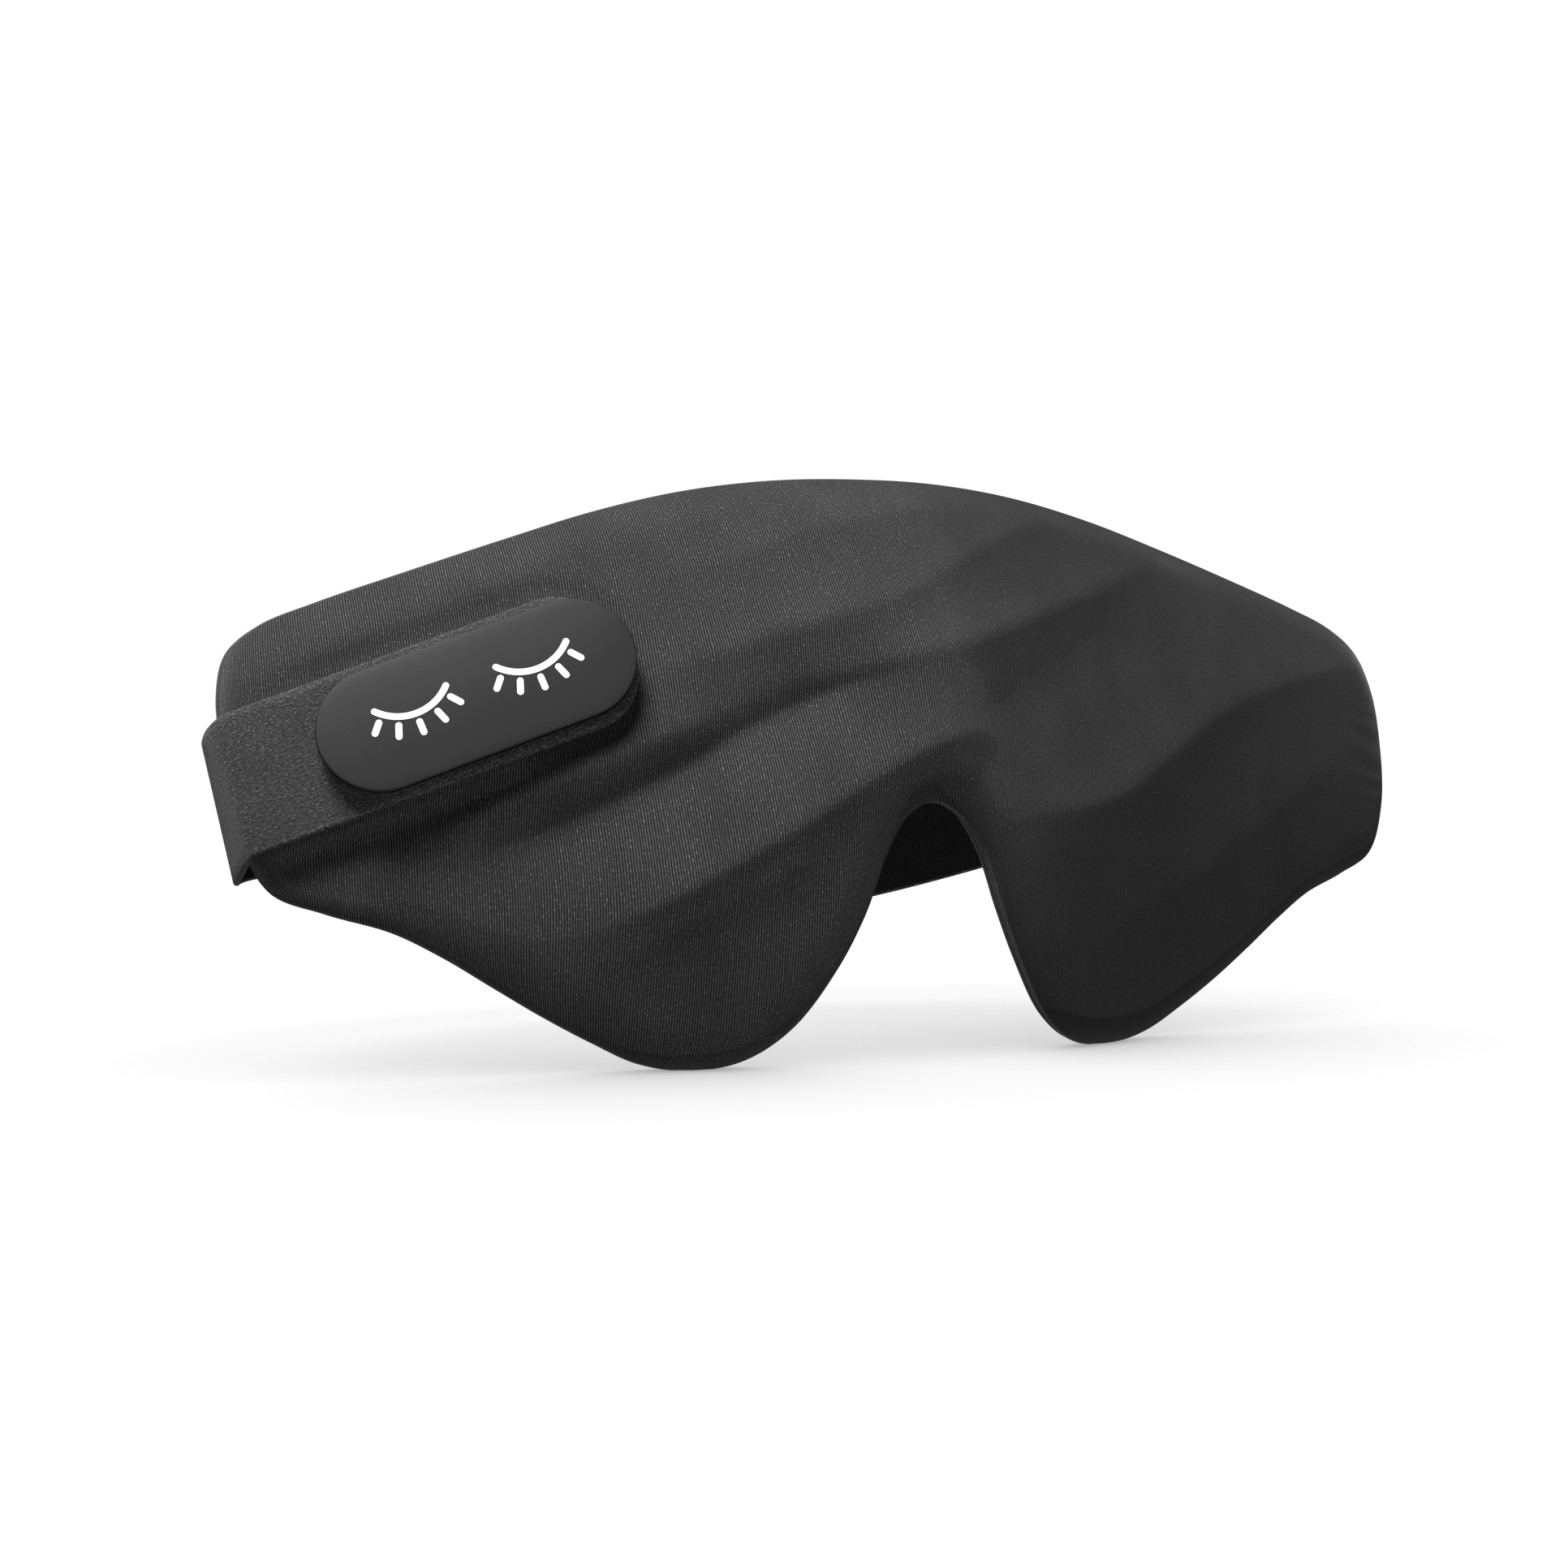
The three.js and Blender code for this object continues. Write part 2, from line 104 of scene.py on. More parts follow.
# The mask's own frame has its origin at the nose; the row frame's is the middle of the footprint.
PAD_LOW, PAD_HIGH = (np.array(corner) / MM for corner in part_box("face_fabric"))
LOOP_BACK_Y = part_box("strap_band")[1][1] / MM
SHIFT = np.array([
    (PAD_LOW[0] + PAD_HIGH[0]) / 2,
    LOOP_BACK_Y - (LOOP_CENTRE_Y + LOOP_HALF_Y + STRAP_THICKNESS / 2),
    0.0,
])


def to_world(points):
    return (np.asarray(points, float) + SHIFT) * MM


def smooth(value, low, high):
    t = np.clip((value - low) / (high - low), 0, 1)
    return t * t * (3 - 2 * t)


def unit(vectors):
    return vectors / np.maximum(np.linalg.norm(vectors, axis=-1, keepdims=True), 1e-9)


# ---- Meshes and objects ----
def make_object(name, verts, faces, weave=None, flat_shaded=False):
    mesh = bpy.data.meshes.new(name)
    mesh.from_pydata(np.asarray(verts).tolist(), [], [tuple(int(i) for i in f) for f in faces])
    if weave is not None:
        attribute = mesh.attributes.new("weave", "FLOAT_VECTOR", "POINT")
        attribute.data.foreach_set("vector", np.asarray(weave, np.float32).ravel())
    mesh.polygons.foreach_set("use_smooth", [not flat_shaded] * len(mesh.polygons))
    mesh.update()
    obj = bpy.data.objects.new(name, mesh)
    bpy.context.scene.collection.objects.link(obj)
    return obj


def ring_faces(rings, around, closed=False):
    """Quads between rings of points, with a lid at each end unless the rings close up."""
    faces = []
    for i in range(rings if closed else rings - 1):
        for k in range(around):
            n, j = (k + 1) % around, (i + 1) % rings
            faces.append((i * around + k, i * around + n, j * around + n, j * around + k))
    if not closed:
        last = (rings - 1) * around
        faces.append(tuple(reversed(range(around))))
        faces.append(tuple(last + k for k in range(around)))
    return faces


def finish_piece(obj, material, body=None):
    obj.data.materials.append(material)
    if body:
        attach(obj, body)
    return obj


# ---- Curves ----
def hermite_spans(before, start, end, beyond, steps):
    def knot(a, b):
        return np.maximum(np.linalg.norm(b - a, axis=1)[:, None] ** 0.5, 1e-6)

    d0, d1, d2 = knot(before, start), knot(start, end), knot(end, beyond)
    leave = ((start - before) / d0 - (end - before) / (d0 + d1) + (end - start) / d1) * d1
    arrive = ((end - start) / d1 - (beyond - start) / (d1 + d2) + (beyond - end) / d2) * d1
    t = np.linspace(0, 1, steps, endpoint=False)[:, None, None]
    curve = (
        (2 * t**3 - 3 * t**2 + 1) * start
        + (t**3 - 2 * t**2 + t) * leave
        + (3 * t**2 - 2 * t**3) * end
        + (t**3 - t**2) * arrive
    )
    return curve.transpose(1, 0, 2).reshape(-1, start.shape[1])


def closed_curve(control, count):
    control = np.array(control, float)
    rolled = [np.roll(control, k, axis=0) for k in (1, 0, -1, -2)]
    dense = hermite_spans(*rolled, steps=40)
    loop = np.vstack([dense, dense[:1]])
    length = np.r_[0, np.cumsum(np.linalg.norm(np.diff(loop, axis=0), axis=1))]
    stations = np.linspace(0, length[-1], count, endpoint=False)
    return np.stack([np.interp(stations, length, loop[:, k]) for k in range(loop.shape[1])], axis=1)


def open_curve(control, steps=8):
    control = np.array(control, float)
    first = 2 * control[:1] - control[1:2]
    last = 2 * control[-1:] - control[-2:-1]
    row = np.vstack([first, control, last])
    dense = hermite_spans(row[:-3], row[1:-2], row[2:-1], row[3:], steps)
    return np.vstack([dense, control[-1:]])


LOBE_ROUNDING = 1.6  # rounds the two lobes where they stand on the floor


def pad_outline(count):
    mirrored = [(-x, z) for x, z in HALF_OUTLINE[-2:0:-1]]
    points = closed_curve(HALF_OUTLINE + mirrored, count)
    height = (points[:, 1] + np.hypot(points[:, 1], LOBE_ROUNDING)) / 2
    points[:, 1] = height - height.min()
    return points


def inset(outline, distance):
    tangent = unit(np.roll(outline, -1, axis=0) - np.roll(outline, 1, axis=0))
    return outline + distance * np.stack([tangent[:, 1], -tangent[:, 0]], axis=1)


def nearest_edge(points, outline):
    """Distance from each point to the outline, and the outline's outward normal there."""
    start, end = outline, np.roll(outline, -1, axis=0)
    span = end - start
    length = (span**2).sum(axis=1)
    outward = np.stack([-span[:, 1], span[:, 0]], axis=1) / np.sqrt(length)[:, None]
    distance, normal = [], []
    for block in np.array_split(points, max(1, len(points) // 1500)):
        offset = block[:, None, :] - start[None]
        t = np.clip((offset * span).sum(axis=2) / length, 0, 1)
        away = np.linalg.norm(offset - t[..., None] * span, axis=2)
        best = away.argmin(axis=1)
        distance.append(away[np.arange(len(block)), best])
        normal.append(outward[best])
    return np.concatenate(distance), np.concatenate(normal)


# ---- The pad's surfaces ----
def front_y(x, z):
    plan = PLAN_RISE * (np.sqrt(1 + (x / PLAN_HALF) ** 2) - 1)
    return plan + LEAN * (z - LEAN_CENTRE) ** 2 - EDGE_DEPTH


def at_depth(x, z, depth):
    x, z = np.broadcast_arrays(np.asarray(x, float), np.asarray(z, float))
    return np.stack([x, front_y(x, z) + depth, z], axis=-1)


FACE_BORDER = 7.5  # width of the rolled border in front
BACK_BORDER = 3.5
BORDER_DEPTH = 4.35


def border_roll(edge, width=FACE_BORDER):
    share = np.clip(1 - edge / width, 0, 1)
    return BORDER_DEPTH * (1 - np.sqrt(1 - share**2))


# Soft folds pressed into the face. Each is a line of points (x, z) with its height, which is
# negative for a crease, how far it runs out above and below the line, and its roundness.
FOLDS = [
    # The raised border along the upper edge on the tab's side.
    ([(-109, 63), (-92, 73), (-75, 79.5), (-58, 85.5), (-40, 91), (-22, 94.5)], 0.5, 5, 10, 2.0),
    # Three long ridges across the brow.
    ([(-46, 81), (-30, 85.5), (-20, 89), (0, 94), (14, 97.5), (34, 103)], 1.8, 4, 5, 0.8),
    ([(-54, 62), (-40, 68), (-28, 72), (-12, 76.5), (0, 80.5), (12, 86), (25, 91), (40, 95.5),
      (60, 102)], 2.8, 4.5, 6, 0.8),
    ([(-26, 62), (-8, 67.5), (8, 71.5), (25, 76.5), (40, 81), (56, 86), (80, 94)], 3.3, 4.5, 9, 0.8),
    # The deep crease below the tab, and the ridge above it.
    ([(-84, 32), (-60, 42), (-50, 46.5), (-40, 51.5), (-30, 57), (-18, 62), (-6, 66), (6, 69)],
     -3.8, 4.5, 10, 1.0),
    ([(-90, 38), (-70, 46), (-55, 52), (-45, 56.5), (-32, 62)], 1.2, 3, 4, 0.9),
    # The pad is pressed in along the tab's lower edge.
    ([(-134, 34), (-104, 41.5), (-88, 46), (-72, 50.5), (-58, 55)], -2.7, 5, 12, 3.0),
    # The ridge that ends in a hood over the nose notch, and a small one below it.
    ([(-64, 21), (-52, 27), (-40, 33.5), (-25, 42), (-15, 48), (-5, 53), (3, 55.5), (9, 55), (15, 50)],
     3.6, 9, 5.5, 1.0),
    ([(-62, 16), (-52, 21), (-44, 25.5), (-30, 32.5), (-17, 40)], 0.6, 3, 3, 0.8),
    # The pillow beside the notch and its long lower edge.
    ([(6, 46), (13, 43.6), (21, 42.6), (29, 43.2), (38, 46), (50, 52.5), (62, 58.5), (74, 62.5),
      (94, 66.5), (116, 70)], 3.2, 7, 9, 1.3),
    ([(0, 55), (20, 61), (38, 68), (56, 75)], -1.2, 8, 8, 3),
    # Low ridges over the lobe on the sewn side.
    ([(30, 18), (40, 23.5), (50, 28), (70, 38), (88, 47), (104, 55)], 1.0, 9, 6, 1.5),
]
FOLD_ENDS = 0.28  # share of a fold over which it starts and dies out


def along_path(points, path):
    """Distance below a left-to-right path, and the share of its length, for each point."""
    span = np.diff(path, axis=0)
    length = np.linalg.norm(span, axis=1)
    offset = points[:, None, :] - path[None, :-1]
    t = np.clip((offset * span).sum(axis=2) / length**2, 0, 1)
    away = offset - t[..., None] * span
    distance = np.linalg.norm(away, axis=2)
    best = distance.argmin(axis=1)
    row = np.arange(len(points))
    down = np.stack([span[:, 1], -span[:, 0]], axis=1) / length[:, None]
    below = np.sign((away[row, best] * down[best]).sum(axis=1)) * distance[row, best]
    run = np.r_[0, np.cumsum(length)]
    share = (run[best] + t[row, best] * length[best]) / run[-1]
    return below, share


def fold_height(points):
    height = np.zeros(len(points))
    for control, rise, above, below, softness in FOLDS:
        distance, share = along_path(points, open_curve(control))
        window = smooth(share, 0, FOLD_ENDS) * smooth(1 - share, 0, FOLD_ENDS)
        reach = above + (below - above) * smooth(distance, -softness, softness)
        away = np.hypot(distance, softness) - softness
        height += rise * window * np.exp(-away / reach)
    return height


def tab_coordinates(x, z):
    dx, dz = x - TAB_ROOT[0], z - TAB_ROOT[1]
    along = dx * math.cos(TAB_ANGLE) + dz * math.sin(TAB_ANGLE)
    across = -dx * math.sin(TAB_ANGLE) + dz * math.cos(TAB_ANGLE)
    return along, across


PRESSED_NEAR = 0.5  # the face is flat this far out from the tab, and free again at the next
PRESSED_FAR = 4.5


def under_tab(x, z):
    along, across = tab_coordinates(x, z)
    beyond = np.hypot(np.maximum(0, along - (TAB_LENGTH - TAB_HALF)), across)
    return 1 - smooth(beyond, TAB_HALF + PRESSED_NEAR, TAB_HALF + PRESSED_FAR)


PUCKER_DEPTH = 0.13
PUCKER_PITCH = 4.4
PUCKER_X = 104.5
PUCKER_REACH_X = 4.5
PUCKER_REACH_Z = 8.5


def sewn_puckers(x, z):
    """Small uneven dents where the strap's end is sewn on behind."""
    uneven = 0.25 * (x - PUCKER_X) + 0.9 * np.sin(z / 2.3) + 0.125
    rows = np.cos(2 * math.pi * (z + uneven) / PUCKER_PITCH)
    near_x = np.exp(-(((x - PUCKER_X) / PUCKER_REACH_X) ** 2))
    near_z = np.exp(-(((z - RIGHT_Z) / PUCKER_REACH_Z) ** 4))
    return -PUCKER_DEPTH * rows * near_x * near_z


FACE_SWELL = 0.22  # gentle unevenness of the two fabrics
BACK_SWELL = 0.15
TAB_DENT = 0.25  # how far the tab presses the face in


def face_depth(points, edge):
    x, z = points[:, 0], points[:, 1]
    swell = FACE_SWELL * np.sin(x / 11.3 + 0.7) * np.sin(z / 8.9 + x / 31.0)
    height = fold_height(points) + swell
    tab = under_tab(x, z)
    height = height * (1 - tab) - TAB_DENT * tab
    height = height * smooth(edge, 0.5, 5) + sewn_puckers(x, z) * smooth(edge, 0.3, 2.5)
    return border_roll(edge) - height


def eye_hollow(x, z):
    away = np.hypot((np.abs(x) - EYE_X) / EYE_HALF_WIDTH, (z - EYE_Z) / EYE_HALF_HEIGHT)
    return EYE_DEPTH * (1 - smooth(away, 0.5, 1))


THINNEST = 2.6  # the pad is never thinner than this, so a deep fold bows the lining out a little
BOW_SOFTNESS = 1.8


def lining_depth(points, edge):
    x, z = points[:, 0], points[:, 1]
    swell = BACK_SWELL * np.sin(x / 9.1) * np.sin(z / 10.7 + 1.1) * smooth(edge, 1, 6)
    plain = PAD_THICKNESS - border_roll(edge, BACK_BORDER) - eye_hollow(x, z) + swell
    least = face_depth(points, edge) + THINNEST * smooth(edge, 0, 3)
    return (plain + least + np.hypot(plain - least, BOW_SOFTNESS * smooth(edge, 0, 6))) / 2


def arc_table(slope, low, high, steps=800):
    """A curve's running length against its coordinate."""
    where = np.linspace(low, high, steps)
    length = np.r_[0, np.cumsum(np.sqrt(1 + slope(where[1:]) ** 2) * np.diff(where))]
    return lambda value: np.interp(value, where, length)


def plan_slope(x):
    return PLAN_RISE * x / (PLAN_HALF**2 * np.sqrt(1 + (x / PLAN_HALF) ** 2))


ARC_ACROSS = arc_table(plan_slope, -120, 120)
ARC_UP = arc_table(lambda z: 2 * LEAN * (z - LEAN_CENTRE), -2, 104)


def fabric_run(points, normal, roll):
    """Where each point lies on the flat cloth, in millimetres: across and along the ribs."""
    u = ARC_ACROSS(points[:, 0]) + normal[:, 0] * roll
    v = ARC_UP(points[:, 1]) + normal[:, 1] * roll
    return np.stack([u, v, np.zeros(len(u))], axis=1)


def pad_plan(rings, step, count=640, first=0.0):
    """Triangles over the pad's front view: rings near the outline and a grid inside."""
    outline = pad_outline(count)
    loops = [inset(outline, first + ring) for ring in rings]
    low, high = outline.min(axis=0), outline.max(axis=0)
    columns = np.arange(low[0], high[0], step)
    rows = np.arange(low[1], high[1], step * 0.9)
    grid = np.array([(x + 0.5 * step * (j % 2), z) for j, z in enumerate(rows) for x in columns])
    inside = inside_outline(grid, outline)
    grid = grid[inside]
    distance, _ = nearest_edge(grid, outline)
    grid = grid[distance > first + rings[-1] + 0.6 * step]
    points = np.vstack(loops + [grid])
    border = [(i, (i + 1) % count) for i in range(count)]
    verts, _, faces, *_ = delaunay_2d_cdt([Vector(p) for p in points], border, [], 1, 1e-5, False)
    verts = np.array([tuple(v) for v in verts])
    faces = np.array([tuple(f) for f in faces])
    faces = faces[inside_outline(verts[faces].mean(axis=1), loops[0])]
    edge, normal = nearest_edge(verts, outline)
    return verts, faces.tolist(), edge, normal


def inside_outline(points, outline):
    start, end = outline, np.roll(outline, -1, axis=0)
    x, z = points[:, 0][:, None], points[:, 1][:, None]
    crosses = (start[:, 1] > z) != (end[:, 1] > z)
    rise = np.where(end[:, 1] == start[:, 1], 1, end[:, 1] - start[:, 1])
    where = start[:, 0] + (z - start[:, 1]) * (end[:, 0] - start[:, 0]) / rise
    return ((x < where) & crosses).sum(axis=1) % 2 == 1


def add_thickness(obj, thickness):
    shell = obj.modifiers.new("cloth thickness", "SOLIDIFY")
    shell.thickness = thickness * MM
    shell.offset = -1
    bpy.context.view_layer.update()
    evaluated = obj.evaluated_get(bpy.context.evaluated_depsgraph_get())
    solid = bpy.data.meshes.new_from_object(evaluated)
    obj.modifiers.clear()
    obj.data = solid


def closed_pad(name, plan, near, far):
    """A closed solid between two depths over one plan."""
    verts, faces, edge, _ = plan
    count = len(verts)
    both = np.vstack([
        at_depth(verts[:, 0], verts[:, 1], near(verts, edge)),
        at_depth(verts[:, 0], verts[:, 1], far(verts, edge)),
    ])
    sides = dict.fromkeys(pair for a, b, c in faces for pair in ((a, b), (b, c), (c, a)))
    rim = [(b, a, a + count, b + count) for a, b in sides if (b, a) not in sides]
    back = [tuple(i + count for i in reversed(face)) for face in faces]
    return make_object(name, to_world(both), faces + back + rim)


# ---- Strips of elastic ----
EDGE_BENDS = 4  # points round each edge of a strip


def strip_from_grid(name, grid, thickness, length_before=0.0):
    """A strip with round edges round a grid of middle points, (stations, rows, 3)."""
    along = np.gradient(grid, axis=0)
    wide = np.gradient(grid, axis=1)
    normal = unit(np.cross(unit(along), unit(wide)))
    half = thickness / 2
    angles = np.linspace(math.pi / 2, -math.pi / 2, EDGE_BENDS + 2)[1:-1]
    right, left = unit(wide[:, -1]), unit(wide[:, 0])
    section = [grid[:, j] + half * normal[:, j] for j in range(grid.shape[1])]
    section += [
        grid[:, -1] + half * (math.cos(a) * right + math.sin(a) * normal[:, -1]) for a in angles
    ]
    section += [grid[:, j] - half * normal[:, j] for j in reversed(range(grid.shape[1]))]
    section += [
        grid[:, 0] - half * (math.cos(a) * left + math.sin(a) * normal[:, 0]) for a in angles
    ]
    rings = np.stack(section, axis=1)
    stations, around = rings.shape[:2]
    middle = grid[:, grid.shape[1] // 2]
    run = np.r_[0, np.cumsum(np.linalg.norm(np.diff(middle, axis=0), axis=1))] + length_before
    across = unit(wide[:, grid.shape[1] // 2])[:, None]
    side = ((rings - middle[:, None]) * across).sum(axis=2)
    # Marks the outer, brushed side; the material paints the other side far darker, partly painted
    # shade.
    pile = np.ones(around)
    pile[: grid.shape[1]] = 0
    weave = np.stack([np.repeat(run[:, None], around, 1), side, np.tile(pile, (stations, 1))], axis=-1)
    faces = [face[::-1] for face in ring_faces(stations, around)]
    strip = make_object(name, to_world(rings.reshape(-1, 3)), faces, weave.reshape(-1, 3))
    sharpen_ends(strip.data, around, (stations - 1) * around)
    return strip, run[-1]


def sharpen_ends(mesh, first, last):
    """Crisp edges round a strip's two end faces, so the strip's own shading runs on to its ends."""
    ends = np.empty(len(mesh.edges) * 2, int)
    mesh.edges.foreach_get("vertices", ends)
    ends = ends.reshape(-1, 2)
    sharp = (ends < first).all(axis=1) | (ends >= last).all(axis=1)
    mesh.attributes.new("sharp_edge", "BOOLEAN", "EDGE").data.foreach_set("value", sharp)


def tab_point(along, across, depth):
    x = TAB_ROOT[0] + along * math.cos(TAB_ANGLE) - across * math.sin(TAB_ANGLE)
    z = TAB_ROOT[1] + along * math.sin(TAB_ANGLE) + across * math.cos(TAB_ANGLE)
    return at_depth(x, z, depth)


PIVOT_PHI = math.asin((PIVOT_Y - LOOP_CENTRE_Y) / LOOP_HALF_Y)
# The visible loop sags a little more than the CAD model's plain one, at the back and after its fold.
LOOP_DROOP = 17.4
LEG_DROP = 1.3


def loop_point(phi, across):
    """A point in the middle of the strap's thickness, at an angle round the loop."""
    share = np.clip((phi - PIVOT_PHI) / (math.pi - 2 * PIVOT_PHI), 0, 1)
    droop = LOOP_DROOP * np.sin(math.pi * share) ** DROOP_POWER
    y = LOOP_CENTRE_Y + LOOP_HALF_Y * np.sin(phi)
    drop = LEG_DROP * smooth(y, LOOP_START_Y - 4, LOOP_START_Y + 8) * (1 - smooth(share, 0, 0.3))
    drop = np.where(phi < math.pi / 2, drop, 0)
    z = LEFT_Z + (RIGHT_Z - LEFT_Z) * share**2 - droop - drop + across * STRAP_HALF
    half_x = LOOP_HALF_X + LOOP_FLARE * across
    return np.stack([-half_x * np.cos(phi), y + 0 * across, z], axis=-1)


def loop_angle(y, right=False):
    phi = math.asin((y - LOOP_CENTRE_Y) / LOOP_HALF_Y)
    return math.pi - phi if right else phi


def bend_between(start, tangent, right, join_y, stations):
    """Rounded bends, one per row, from a start line and tangent to the loop."""
    rows = start.shape[0]
    across = strip_rows(rows)
    join = loop_point(np.full(rows, loop_angle(join_y, right)), across)
    ahead = loop_point(np.full(rows, loop_angle(join_y + 1, right)), across) - join
    turn = tangent[:, 0] * ahead[:, 1] - tangent[:, 1] * ahead[:, 0]
    reach = (join[:, 0] - start[:, 0]) * ahead[:, 1] - (join[:, 1] - start[:, 1]) * ahead[:, 0]
    corner = start + tangent * (reach / turn)[:, None]
    corner[:, 2] = (start[:, 2] + join[:, 2]) / 2
    t = np.linspace(0, 1, stations)[:, None, None]
    return (1 - t) ** 2 * start + 2 * t * (1 - t) * corner + t**2 * join


def strip_rows(rows):
    reach = 1 - STRAP_THICKNESS / 2 / STRAP_HALF
    return np.linspace(-reach, reach, rows)


ROWS = 13  # points across a strip
BEND_STEPS = 22
SEWN_GAP = 0.3  # between the lining and the strap's sewn end
STRAP_MIDDLE = TAB_DEPTH + STRAP_THICKNESS / 2
LEG_SPLIT_Y = 44.0  # behind the pad, where the tab's piece meets the loop's piece


def tab_grid():
    """Middle of the strip from the tab's round end, along the tab and round the end of the pad."""
    across = strip_rows(ROWS)
    reach = TAB_HALF - STRAP_THICKNESS / 2
    tip = TAB_LENGTH - STRAP_THICKNESS / 2
    straight = TAB_LENGTH - TAB_HALF
    round_part = straight + (tip - straight) * np.sin(np.linspace(math.pi / 2, 0, 22))
    flat_part = np.linspace(straight, BEND_ALONG, 62)[1:]
    stations = np.r_[round_part, flat_part]
    beyond = np.maximum(0, stations - straight)
    width = np.sqrt(np.maximum(0.3, reach**2 - (beyond * reach / (tip - straight)) ** 2))
    side = width[:, None] * (across / across[-1])
    skew = BEND_SKEW * side * smooth(stations, straight, BEND_ALONG)[:, None]
    tab = tab_point(stations[:, None] + skew, side, STRAP_MIDDLE)
    bend = bend_between(tab[-1], unit(tab[-1] - tab[-2]), False, LOOP_START_Y, BEND_STEPS)[1:]
    angles = np.linspace(loop_angle(LOOP_START_Y), loop_angle(LEG_SPLIT_Y), 12)[1:]
    leg = loop_point(angles[:, None], across[None])
    return np.vstack([tab, bend, leg])


def loop_grid():
    """Middle of the strip from behind the pad's left end, round the head, to the sewn end."""
    across = strip_rows(ROWS)
    angles = np.linspace(loop_angle(LEG_SPLIT_Y), loop_angle(SEWN_JOIN_Y, True), 260)
    loop = loop_point(angles[:, None], across[None])
    depth = PAD_THICKNESS + SEWN_GAP + STRAP_THICKNESS / 2
    z = RIGHT_Z + across * STRAP_HALF
    xs = np.linspace(SEWN_LEAVES_X, SEWN_START_X, 12)
    sewn = at_depth(xs[:, None], z[None], depth)
    bend = bend_between(sewn[0], unit(sewn[0] - sewn[1]), True, SEWN_JOIN_Y, BEND_STEPS)[::-1]
    return np.vstack([loop, bend[1:-1], sewn])


# ---- Badge ----
def badge_matrix():
    """Flat frame of the badge: x along the tab, y up across it, z out of it."""
    centre = tab_point(BADGE_CENTRE_ALONG, 0, TAB_DEPTH)
    along = unit(tab_point(BADGE_CENTRE_ALONG + 0.5, 0, TAB_DEPTH) - centre)
    across = tab_point(BADGE_CENTRE_ALONG, 0.5, TAB_DEPTH) - centre
    out = unit(np.cross(along, across))
    return centre, np.array([along, np.cross(out, along), out])


def on_badge(points):
    centre, axes = badge_matrix()
    return to_world(np.asarray(points) @ axes + centre)


def stadium(length, width, distance, steps=28):
    radius = width / 2 - distance
    reach = length / 2 - width / 2
    arc = np.linspace(-math.pi / 2, math.pi / 2, steps)
    right = np.stack([reach + radius * np.cos(arc), radius * np.sin(arc)], axis=1)
    return np.vstack([right, -right])


BADGE_CROWN = 0.36  # rise of the middle of the badge's face
BADGE_ROUND = 0.3  # radius of its edge


def badge_crown(edge):
    """How far the badge's slightly domed face rises, at a distance from its edge."""
    return BADGE_CROWN * (1 - (1 - edge / (BADGE_WIDTH / 2)) ** 2)


def badge_edge(x, y):
    beyond = max(0, abs(x) - (BADGE_LENGTH - BADGE_WIDTH) / 2)
    return BADGE_WIDTH / 2 - math.hypot(beyond, y)


def badge_piece():
    arc = np.linspace(0, math.pi / 2, 7)
    profile = [(0.3, 0.0), (0.08, 0.08), (0.0, 0.3)]
    profile += [
        (BADGE_ROUND * (1 - math.cos(a)), BADGE_THICKNESS - BADGE_ROUND * (1 - math.sin(a)))
        for a in arc
    ]
    profile += [(d, BADGE_THICKNESS + badge_crown(d)) for d in (1.2, 2.2, 3.5, 5, 6.5, 8, 9.3, 10.3)]
    rings = []
    for inward, height in profile:
        flat = stadium(BADGE_LENGTH, BADGE_WIDTH, inward)
        rings.append(np.c_[flat, np.full(len(flat), height + BADGE_CLEARANCE)])
    return make_object("badge", on_badge(np.vstack(rings)), ring_faces(len(rings), len(rings[0])))


def stroke_outline(path, width):
    """The outline of a round-ended pen stroke along a path."""
    path = np.asarray(path, float)
    tangent = unit(np.gradient(path, axis=0))
    side = np.stack([-tangent[:, 1], tangent[:, 0]], axis=1) * width / 2
    turn = np.linspace(math.pi / 2, -math.pi / 2, 9)[1:-1]

    def cap(point, direction, left, order):
        return [point + math.cos(a) * direction * width / 2 + math.sin(a) * left for a in order]

    end = cap(path[-1], tangent[-1], side[-1], turn)
    start = cap(path[0], -tangent[0], -side[0], turn)
    return np.vstack([path + side, end, (path - side)[::-1], start])


MARK_PEN = 1.1
MARK_RELIEF = 0.12
MARK_SUNK = 0.04  # the print starts this far inside the badge
LID_CENTRE = (10.4, 8.4)
LID_RADIUS = 8.2
LID_SWEEP = (222, 318)
LASH_ANGLES = (231, 250, 270, 290, 309)
LASH_REACH = (1.5, 3.4)  # beyond the eyelid's line


def mark_strokes():
    strokes = []
    for side in (-1, 1):
        centre = np.array([side * LID_CENTRE[0], LID_CENTRE[1]])
        sweep = np.radians(np.linspace(*LID_SWEEP, 25))
        strokes.append(centre + LID_RADIUS * np.stack([np.cos(sweep), np.sin(sweep)], axis=1))
        for angle in np.radians(LASH_ANGLES):
            ray = np.array([math.cos(angle), math.sin(angle)])
            reach = LID_RADIUS + np.linspace(*LASH_REACH, 4)
            strokes.append(centre + reach[:, None] * ray)
    return strokes


def mark_piece():
    """A plain pair of closed eyelids with lashes."""
    base = BADGE_CLEARANCE + BADGE_THICKNESS - MARK_SUNK
    verts, faces = [], []
    for path in mark_strokes():
        outline = stroke_outline(path, MARK_PEN)
        first, count = len(verts), len(outline)
        for height in (base, base + MARK_RELIEF):
            verts += [(x, y, height + badge_crown(badge_edge(x, y))) for x, y in outline]
        faces.append([first + count + k for k in reversed(range(count))])
        faces.append([first + k for k in range(count)])
        for k in range(count):
            n = (k + 1) % count
            faces.append([first + k, first + count + k, first + count + n, first + n])
    return make_object("badge_mark", on_badge(verts), faces, flat_shaded=True)


